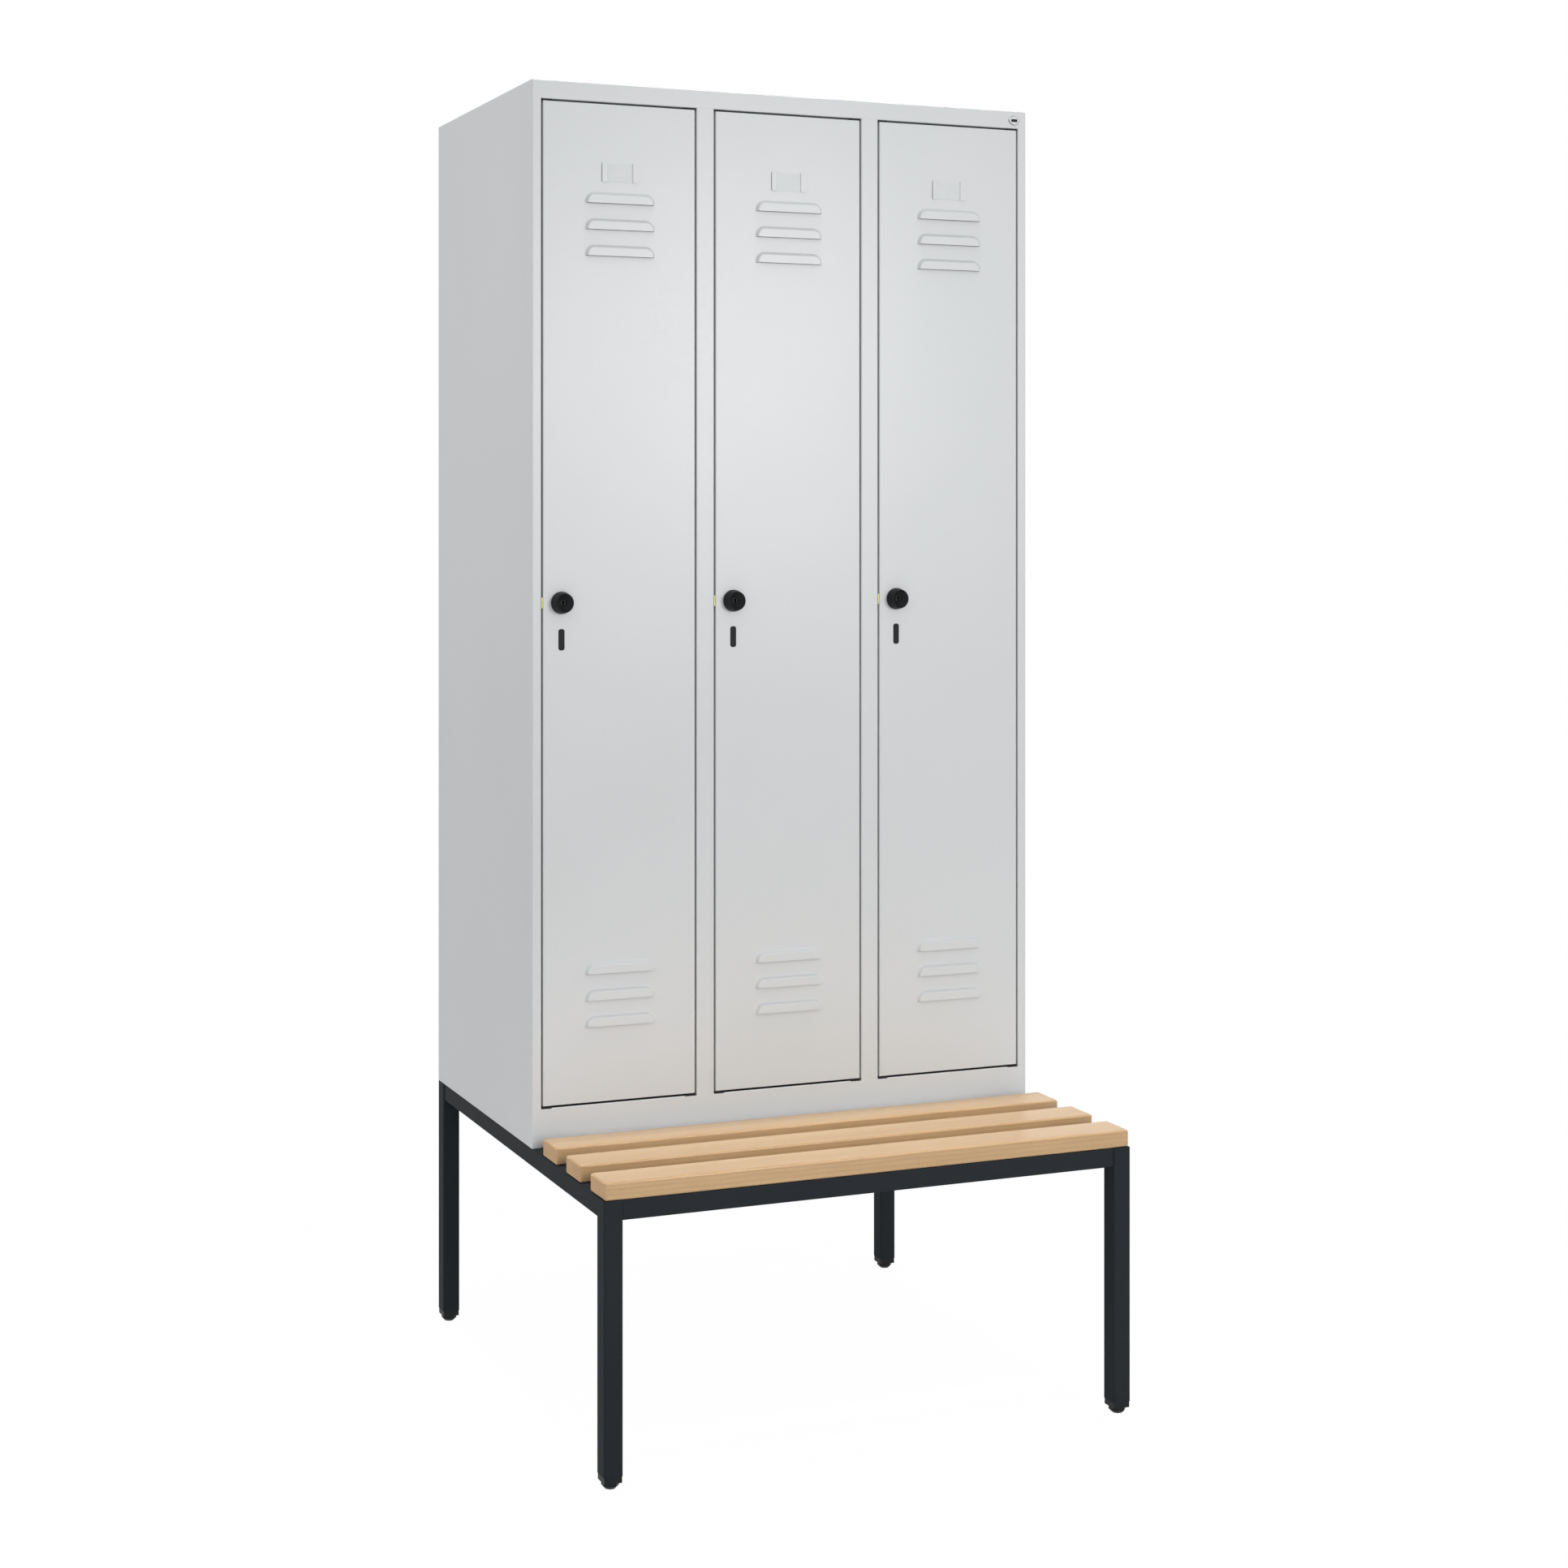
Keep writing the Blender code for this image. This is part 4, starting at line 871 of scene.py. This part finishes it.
for name in BAYS:
    low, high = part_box("door_panel_" + name)
    bm = bmesh.new()
    for side in (-1, 1):
        label_lip(bm, (low.x + high.x) / 2, low.z + LABEL_ABOVE_BOTTOM, side)
    lips = walled(mesh_of(bm, "label_lips_" + name), LIP_SHEET)
    finished("label_lips_" + name, lips, (grey_coat,), "door_" + name)
    card = blank_card(name)
    finished("card_" + name, card, (card_plastic,), "door_" + name)
print("Made label holders and blank cards for", len(BAYS), "doors")

# %% [markdown]
# ## The turning knobs
# The knob is a turned shape, so its half outline is spun round the lock's axis. Its face is
# hollow like a bowl, with a crease from top to bottom where its two halves meet, and only the
# points of the bowl are moved to make that crease. A separate key cylinder sits in the middle,
# because the key turns it while the knob stands still.

# %% Knobs
KNOB_STEPS = 72
KNOB_RADIUS = 0.018
KNOB_FACE_RADIUS = 0.0157
KNOB_SKIRT = 0.003
DISH_RADIUS = 0.0138
DISH_DEPTH = 0.0083
DISH_RINGS = 9
SOCKET_RADIUS = 0.0058
SOCKET_DEPTH = 0.0137
SPINDLE_RADIUS = 0.006
SPINDLE_LENGTH = 0.0085
RIM_ROUND = 0.0009
RIM_SEGMENTS = 4
CREASE_SHARE = 0.72
KNOB_CLEARANCE = 0.0003
BOWL_START = 0.001


def spun(bm, outline, steps):
    """Spins an open line of (radius, y) points, which starts and ends on the Y axis."""
    line = [bm.verts.new((radius, y, 0)) for radius, y in outline]
    edges = [bm.edges.new(pair) for pair in zip(line, line[1:])]
    bmesh.ops.spin(
        bm, geom=line + edges, cent=(0, 0, 0), axis=(0, 1, 0), angle=2 * math.pi,
        steps=steps, use_merge=True, use_duplicate=False,
    )
    bmesh.ops.remove_doubles(bm, verts=bm.verts, dist=WELD)


def edges_at_radius(bm, radius, y):
    """The edges of the ring that lies at a radius and a place along the Y axis."""
    ring = [
        vert for vert in bm.verts
        if abs(vert.co.y - y) < WELD and abs(math.hypot(vert.co.x, vert.co.z) - radius) < WELD
    ]
    return edges_of(ring)


def dish_depth(across, up):
    """Depth of the bowl at a place in the knob's face, with a crease along its upright line."""
    half_width = math.sqrt(max(0, DISH_RADIUS**2 - up**2))
    folded = max(0, half_width - abs(across)) / DISH_RADIUS
    ball = (DISH_RADIUS**2 + DISH_DEPTH**2) / (2 * DISH_DEPTH)
    round_depth = DISH_DEPTH - ball + math.sqrt(ball**2 - across**2 - up**2)
    return CREASE_SHARE * DISH_DEPTH * folded + (1 - CREASE_SHARE) * round_depth


def knob(name):
    """A thumb knob over its solid, around the lock's axis."""
    low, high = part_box("knob_" + name)
    face = low.y
    back = cabinet_front - KNOB_CLEARANCE
    floor_y = face + BOWL_START
    outline = [(0, face + SOCKET_DEPTH), (SOCKET_RADIUS, face + SOCKET_DEPTH)]
    for ring in range(DISH_RINGS + 1):
        radius = SOCKET_RADIUS + (DISH_RADIUS - SOCKET_RADIUS) * ring / DISH_RINGS
        outline.append((radius, floor_y if ring < DISH_RINGS else face))
    outline += [
        (KNOB_FACE_RADIUS, face), (KNOB_RADIUS, back - KNOB_SKIRT),
        (KNOB_RADIUS, back), (SPINDLE_RADIUS, back),
        (SPINDLE_RADIUS, back + SPINDLE_LENGTH), (0, back + SPINDLE_LENGTH),
    ]
    bm = bmesh.new()
    spun(bm, outline, KNOB_STEPS)
    bowl = [vert for vert in bm.verts if abs(vert.co.y - floor_y) < WELD]
    outer = edges_at_radius(bm, KNOB_FACE_RADIUS, face)
    outer += edges_at_radius(bm, KNOB_RADIUS, back - KNOB_SKIRT)
    rounded(bm, outer, RIM_ROUND, RIM_SEGMENTS)
    for vert in bowl:
        vert.co.y = face + dish_depth(vert.co.x, vert.co.z)
    moved(bm, bm.verts, ((low.x + high.x) / 2, 0, (low.z + high.z) / 2))
    return mesh_of(bm, "thumb_knob_" + name)


for name in BAYS:
    grip = finished("thumb_knob_" + name, knob(name), (knob_plastic,), "knob_" + name)
    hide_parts("knob_" + name)
print("Made", len(BAYS), "knobs of", len(grip.data.polygons), "faces each")

# %% Key cylinders
CYLINDER_RADIUS = 0.0054
CYLINDER_SEGMENTS = 40
CYLINDER_ROUND = 0.0003
CYLINDER_ROUND_SEGMENTS = 2
KEYHOLE_RADIUS = 0.0019
KEYHOLE_SEGMENTS = 16
KEYHOLE_SLOT = 0.00106
KEYHOLE_DROP = 0.0065
KEYHOLE_DEPTH = 0.0045


def keyhole_outline(bm, centre):
    """A round hole with a slot under it, made by pulling two points of a circle down."""
    made = circle_points(bm, KEYHOLE_RADIUS, KEYHOLE_SEGMENTS)
    for vert in sorted(made, key=lambda point: point.co.y)[:2]:
        vert.co.x = math.copysign(KEYHOLE_SLOT, vert.co.x)
        vert.co.y = -KEYHOLE_DROP
    stood_up(bm, made, centre)
    return edges_of(made)


def drawn_in(bm, edges, depth):
    """Draws an outline back along Y into a wall, closes its far end, and returns the faces."""
    grown = bmesh.ops.extrude_edge_only(bm, edges=edges)["geom"]
    verts = [part for part in grown if isinstance(part, bmesh.types.BMVert)]
    faces = [part for part in grown if isinstance(part, bmesh.types.BMFace)]
    moved(bm, verts, (0, depth, 0))
    return faces + bmesh.ops.contextual_create(bm, geom=edges_of(verts))["faces"]


def key_cylinder(name):
    """The cylinder's face with its keyhole, and its wall back into the knob."""
    low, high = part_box("lock_cylinder_" + name)
    centre = ((low.x + high.x) / 2, low.y, (low.z + high.z) / 2)
    bm = bmesh.new()
    rim = round_outline(bm, centre, CYLINDER_RADIUS, CYLINDER_SEGMENTS)
    hole = keyhole_outline(bm, (centre[0], centre[1], centre[2] + KEYHOLE_RADIUS))
    bmesh.ops.triangle_fill(
        bm, edges=rim + hole, use_beauty=True, use_dissolve=False, normal=(0, -1, 0),
    )
    # The keyhole's walls and floor take the blacker tint, painted shade in the hole.
    for face in drawn_in(bm, hole, KEYHOLE_DEPTH):
        face.material_index = 1
    drawn_in(bm, rim, high.y - low.y)
    rounded(bm, rim, CYLINDER_ROUND, CYLINDER_ROUND_SEGMENTS)
    return mesh_of(bm, "key_cylinder_" + name)


for name in BAYS:
    cylinder = finished(
        "key_cylinder_" + name, key_cylinder(name), (knob_plastic, keyhole_painted_shade),
        "cylinder_" + name,
    )
    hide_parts("lock_cylinder_" + name)
print("Made", len(BAYS), "key cylinders")

# %% [markdown]
# ## The bolt guides
# A yellow mark fills the gap beside every knob. It is the folded guide that stands in front of
# the bolt and leads it into the stile. Here it is a small rounded block at the door's edge, and
# it moves with the door, while the bolt slides out behind it.

# %% Bolt guides
GUIDE_REACH = 0.0024
GUIDE_HALF = 0.0088
GUIDE_FRONT = 0.0016
GUIDE_BACK = 0.0084
GUIDE_ROUND = 0.0004
GUIDE_SEGMENTS = 3

for name in BAYS:
    low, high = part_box("door_panel_" + name)
    lock_z = low.z + LOCK_ABOVE_BOTTOM
    bm = bmesh.new()
    rounded_block(
        bm, (low.x - GUIDE_REACH, cabinet_front + GUIDE_FRONT, lock_z - GUIDE_HALF),
        (low.x + GUIDE_ROUND, cabinet_front + GUIDE_BACK, lock_z + GUIDE_HALF),
        GUIDE_ROUND, GUIDE_SEGMENTS,
    )
    title = "bolt_guide_" + name
    guide = finished(title, mesh_of(bm, title), (yellow_zinc,), "door_" + name)
print("Made", len(BAYS), "bolt guides of", len(guide.data.polygons), "faces each")

# %% [markdown]
# ## The badge
# The plate at the corner of the header is half oval, half rhombus, with a bright rim and a
# small plain dark field in its middle. It could be drawn as a curve and filled. Here a circle
# gets the outline, because one formula moves each of its points along its own direction.

# %% Badge
BADGE_POWER = 1.45
BADGE_SEGMENTS = 56
BADGE_STEPS = ((0.0, -0.0008), (0.0004, -0.0004), (0.0006, 0.0002))
FIELD_WIDTH = 0.0116
FIELD_HEIGHT = 0.0046
FIELD_CORNER = 0.0014
FIELD_SEGMENTS = 6
FIELD_PROUD = 0.0002

badge_face = moulded(
    "badge_face", seen(226, 227, 228), seen(220, 221, 223), gloss=0.35, specular=0.4,
)
badge_rim = plated("badge_rim", seen(150, 151, 153), seen(132, 133, 136), gloss=0.45)
low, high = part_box("badge")
centre = (low + high) / 2
bm = bmesh.new()
outline = bmesh.ops.create_circle(bm, cap_ends=True, segments=BADGE_SEGMENTS, radius=1)["verts"]
turned(bm, outline, TO_FRONT)
for vert in outline:
    reach = abs(vert.co.x) ** BADGE_POWER + abs(vert.co.z) ** BADGE_POWER
    vert.co *= reach ** (-1 / BADGE_POWER)
bmesh.ops.scale(bm, verts=outline, vec=((high.x - low.x) / 2, 1, (high.z - low.z) / 2))
moved(bm, outline, (centre.x, high.y, centre.z))
field = outline[0].link_faces[0]
for inset, rise in BADGE_STEPS:
    if inset:
        bmesh.ops.inset_region(
            bm, faces=[field], thickness=inset, use_even_offset=True, use_boundary=True,
        )
    else:
        grown = bmesh.ops.extrude_face_region(bm, geom=[field])["geom"]
        bmesh.ops.delete(bm, geom=[field], context="FACES_ONLY")
        field = [part for part in grown if isinstance(part, bmesh.types.BMFace)][0]
    moved(bm, list(field.verts), (0, rise, 0))
field.material_index = 1
corners = block(
    bm, (centre.x - FIELD_WIDTH / 2, low.y - FIELD_PROUD, centre.z - FIELD_HEIGHT / 2),
    (centre.x + FIELD_WIDTH / 2, high.y, centre.z + FIELD_HEIGHT / 2),
)
deep_edges = [
    edge for edge in edges_of(corners)
    if abs(edge.verts[0].co.y - edge.verts[1].co.y) > WELD
]
for face in corners[0].link_faces[:] + corners[-1].link_faces[:]:
    face.material_index = 2
rounded(bm, deep_edges, FIELD_CORNER, FIELD_SEGMENTS)
badge_finishes = (badge_rim, badge_face, black_plastic)
plate = finished("badge_plate", mesh_of(bm, "badge_plate"), badge_finishes, "root")
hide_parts("badge")
print("Made the badge of", len(plate.data.polygons), "faces")

# %% [markdown]
# ## Welded seams
# Where the header and the plinth meet the stiles, the real cabinet is welded, ground flush and
# coated over, so no gap shows. The solids stand three tenths of a millimetre apart there. Flat
# beads fill those seams, and the fill over each side wall has rounded outer edges.

# %% Weld fill
BEAD_PROUD = 0.00004
BEAD_DEPTH = 0.0006
STILE_FOLD = 0.0016
STILE_WIDTH = 0.0155
TRIM = 0.0008
SEAM = 0.0003
FILL_INSET = 0.00005

plinth_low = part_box("floor_panel")[0]
wall_low, wall_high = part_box("side_wall_left")
door_low, door_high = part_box("door_panel_left")
header_bottom = door_high.z + DOOR_GAP
sill_top = door_low.z - DOOR_GAP
opening_edge = wall_low.x + STILE_WIDTH
bead_front = cabinet_front - BEAD_PROUD
bead_back = cabinet_front + BEAD_DEPTH
bm = bmesh.new()
for side in (-1, 1):
    left, right = sorted((side * (opening_edge - STILE_FOLD), side * (opening_edge + TRIM)))
    block(bm, (left, bead_front, header_bottom + TRIM), (right, bead_back, wall_high.z - SEAM))
    block(bm, (left, bead_front, plinth_low.z + TRIM), (right, bead_back, sill_top - TRIM))
    outer = side * (wall_low.x + FILL_INSET)
    left, right = sorted((outer, side * opening_edge))
    fill_low = (left, wall_low.y + FILL_INSET, wall_high.z)
    corners = block(bm, fill_low, (right, wall_high.y - FILL_INSET, wall_high.z + SEAM))
    outer_edges = [
        edge for edge in edges_of(corners)
        if all(abs(vert.co.x - outer) < WELD for vert in edge.verts)
        and abs(edge.verts[0].co.z - edge.verts[1].co.z) > WELD
    ]
    rounded(bm, outer_edges, FOLD, FOLD_SEGMENTS)
    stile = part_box("partition_left" if side < 0 else "partition_right")
    middle = (stile[0].x + stile[1].x) / 2
    half = STILE_WIDTH - 2 * TRIM
    for edge_z in (sill_top, header_bottom):
        bead_low = (middle - half, bead_front, edge_z - TRIM)
        block(bm, bead_low, (middle + half, bead_back, edge_z + TRIM))
beads = finished("weld_beads", mesh_of(bm, "weld_beads"), (grey_coat,), "root")
print("Made weld beads of", len(beads.data.polygons), "faces")

# %% [markdown]
# ## Painted shade strips
# Under each door the gap is as dark as its corner blocks, all the way across. A thin black strip
# lies on the sill there, a dark piece that stands in for the shade in the gap: painted shade. It
# is a flat block with rounded long edges that ends at the blocks. The blocks' own lips hang over
# the edge of the sill by a millimetre, and a second, smaller block makes each of them.

# %% Painted shade strips
STRIP_THICKNESS = 0.0007
STRIP_INSET = 0.0008
STRIP_BACK = 0.0165
SILL_LIP_DROP = 0.0011
SILL_LIP_PROUD = 0.0001
STRIP_SEGMENTS = 2

for name in BAYS:
    buffer_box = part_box("corner_buffer_bottom_" + name)
    hinge_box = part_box("hinge_block_bottom_" + name)
    bm = bmesh.new()
    # The strip is painted shade: black plastic laid where the gap is only in shade.
    rounded_block(
        bm, (buffer_box[1].x + SEAM, cabinet_front + STRIP_INSET, sill_top),
        (hinge_box[0].x - SEAM, cabinet_front + STRIP_BACK, sill_top + STRIP_THICKNESS),
        SEAM, STRIP_SEGMENTS,
    )
    for low, high in (buffer_box, hinge_box):
        rounded_block(
            bm, (low.x, cabinet_front - SILL_LIP_PROUD, sill_top - SILL_LIP_DROP),
            (high.x, cabinet_front + STRIP_INSET, sill_top + SEAM),
            SILL_LIP_PROUD, STRIP_SEGMENTS,
        )
    title = "painted_shade_strip_" + name
    strip = finished(title, mesh_of(bm, title), (black_plastic,), "root")
print("Made", len(BAYS), "painted shade strips of", len(strip.data.polygons), "faces each")

# %% [markdown]
# ## Screws and rivets
# The slats are screwed on from under the side rails, each clothes rail's cups are screwed to
# the sheets beside it, and the back wall is riveted to the rear flanges and coated over. One
# head is turned, and copies of it are placed wherever that kind of head sits.

# %% Screws and rivets
HEAD_STEPS = 20
SCREW_SHAPE = (
    (0, 0.55), (0.4, 0.55), (0.42, 1.0), (0.72, 0.94), (0.94, 0.6), (1.0, 0.0), (0, 0),
)
RIVET_SHAPE = ((0, 1.0), (0.35, 0.94), (0.7, 0.7), (0.92, 0.36), (1.0, 0.0), (0, 0))
SLAT_SCREW = (0.0045, 0.0022)
CUP_SCREW = (0.0022, 0.0005)
CUP_THICKNESS = 0.003
CUP_SCREW_OFFSET = 0.0125
RIVET = (0.0032, 0.0009)
RIVET_ROWS = 8
RIVET_MARGIN = 0.075
FLANGE_RIVET_INSET = 0.0075
WEB_RIVET_OFFSET = 0.006


def heads(name, shape, size, places, direction):
    """Copies of one turned head, each standing on its place and looking in a direction."""
    radius, height = size
    one = bmesh.new()
    spun(one, [(share * radius, -rise * height) for share, rise in shape], HEAD_STEPS)
    head = mesh_of(one, name)
    turn = Vector((0, -1, 0)).rotation_difference(Vector(direction)).to_matrix().to_4x4()
    bm = bmesh.new()
    for place in places:
        copy = head.copy()
        copy.transform(Matrix.Translation(place) @ turn)
        bm.from_mesh(copy)
    return mesh_of(bm, name)


for side in ("left", "right"):
    rail_low, rail_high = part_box("side_rail_" + side)
    rail_x = (rail_low.x + rail_high.x) / 2
    places = []
    for row in PITH_LINES:
        slat_y = (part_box("slat_" + row)[0].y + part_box("slat_" + row)[1].y) / 2
        places.append((rail_x, slat_y, rail_low.z))
    mesh = heads("slat_screws_" + side, SCREW_SHAPE, SLAT_SCREW, places, (0, 0, -1))
    finished("slat_screws_" + side, mesh, (bright_zinc,), "root")

for name in BAYS:
    low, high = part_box("clothes_rail_" + name)
    middle = (low + high) / 2
    ends = (("left", low.x + CUP_THICKNESS, 1), ("right", high.x - CUP_THICKNESS, -1))
    for end, end_x, direction in ends:
        rows = (-CUP_SCREW_OFFSET, CUP_SCREW_OFFSET)
        places = [(end_x, middle.y + offset, middle.z) for offset in rows]
        title = "rail_screws_" + end + "_" + name
        mesh = heads(title, SCREW_SHAPE, CUP_SCREW, places, (direction, 0, 0))
        finished(title, mesh, (bright_zinc,), "root")

back_low, back_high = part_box("back_wall")
rivet_span = back_high.z - back_low.z - 2 * RIVET_MARGIN
rivet_levels = [
    back_low.z + RIVET_MARGIN + rivet_span * row / (RIVET_ROWS - 1) for row in range(RIVET_ROWS)
]
columns = [(side * (wall_low.x + FLANGE_RIVET_INSET), wall_high.y) for side in (-1, 1)]
for side in ("left", "right"):
    low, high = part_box("partition_" + side)
    columns.append(((low.x + high.x) / 2 - WEB_RIVET_OFFSET, back_high.y))
places = [(x, y, z) for x, y in columns for z in rivet_levels]
mesh = heads("back_rivets", RIVET_SHAPE, RIVET, places, (0, 1, 0))
rivets = finished("back_rivets", mesh, (grey_coat,), "root")
print("Made", len(places), "rivets of", len(rivets.data.polygons) // len(places), "faces each")
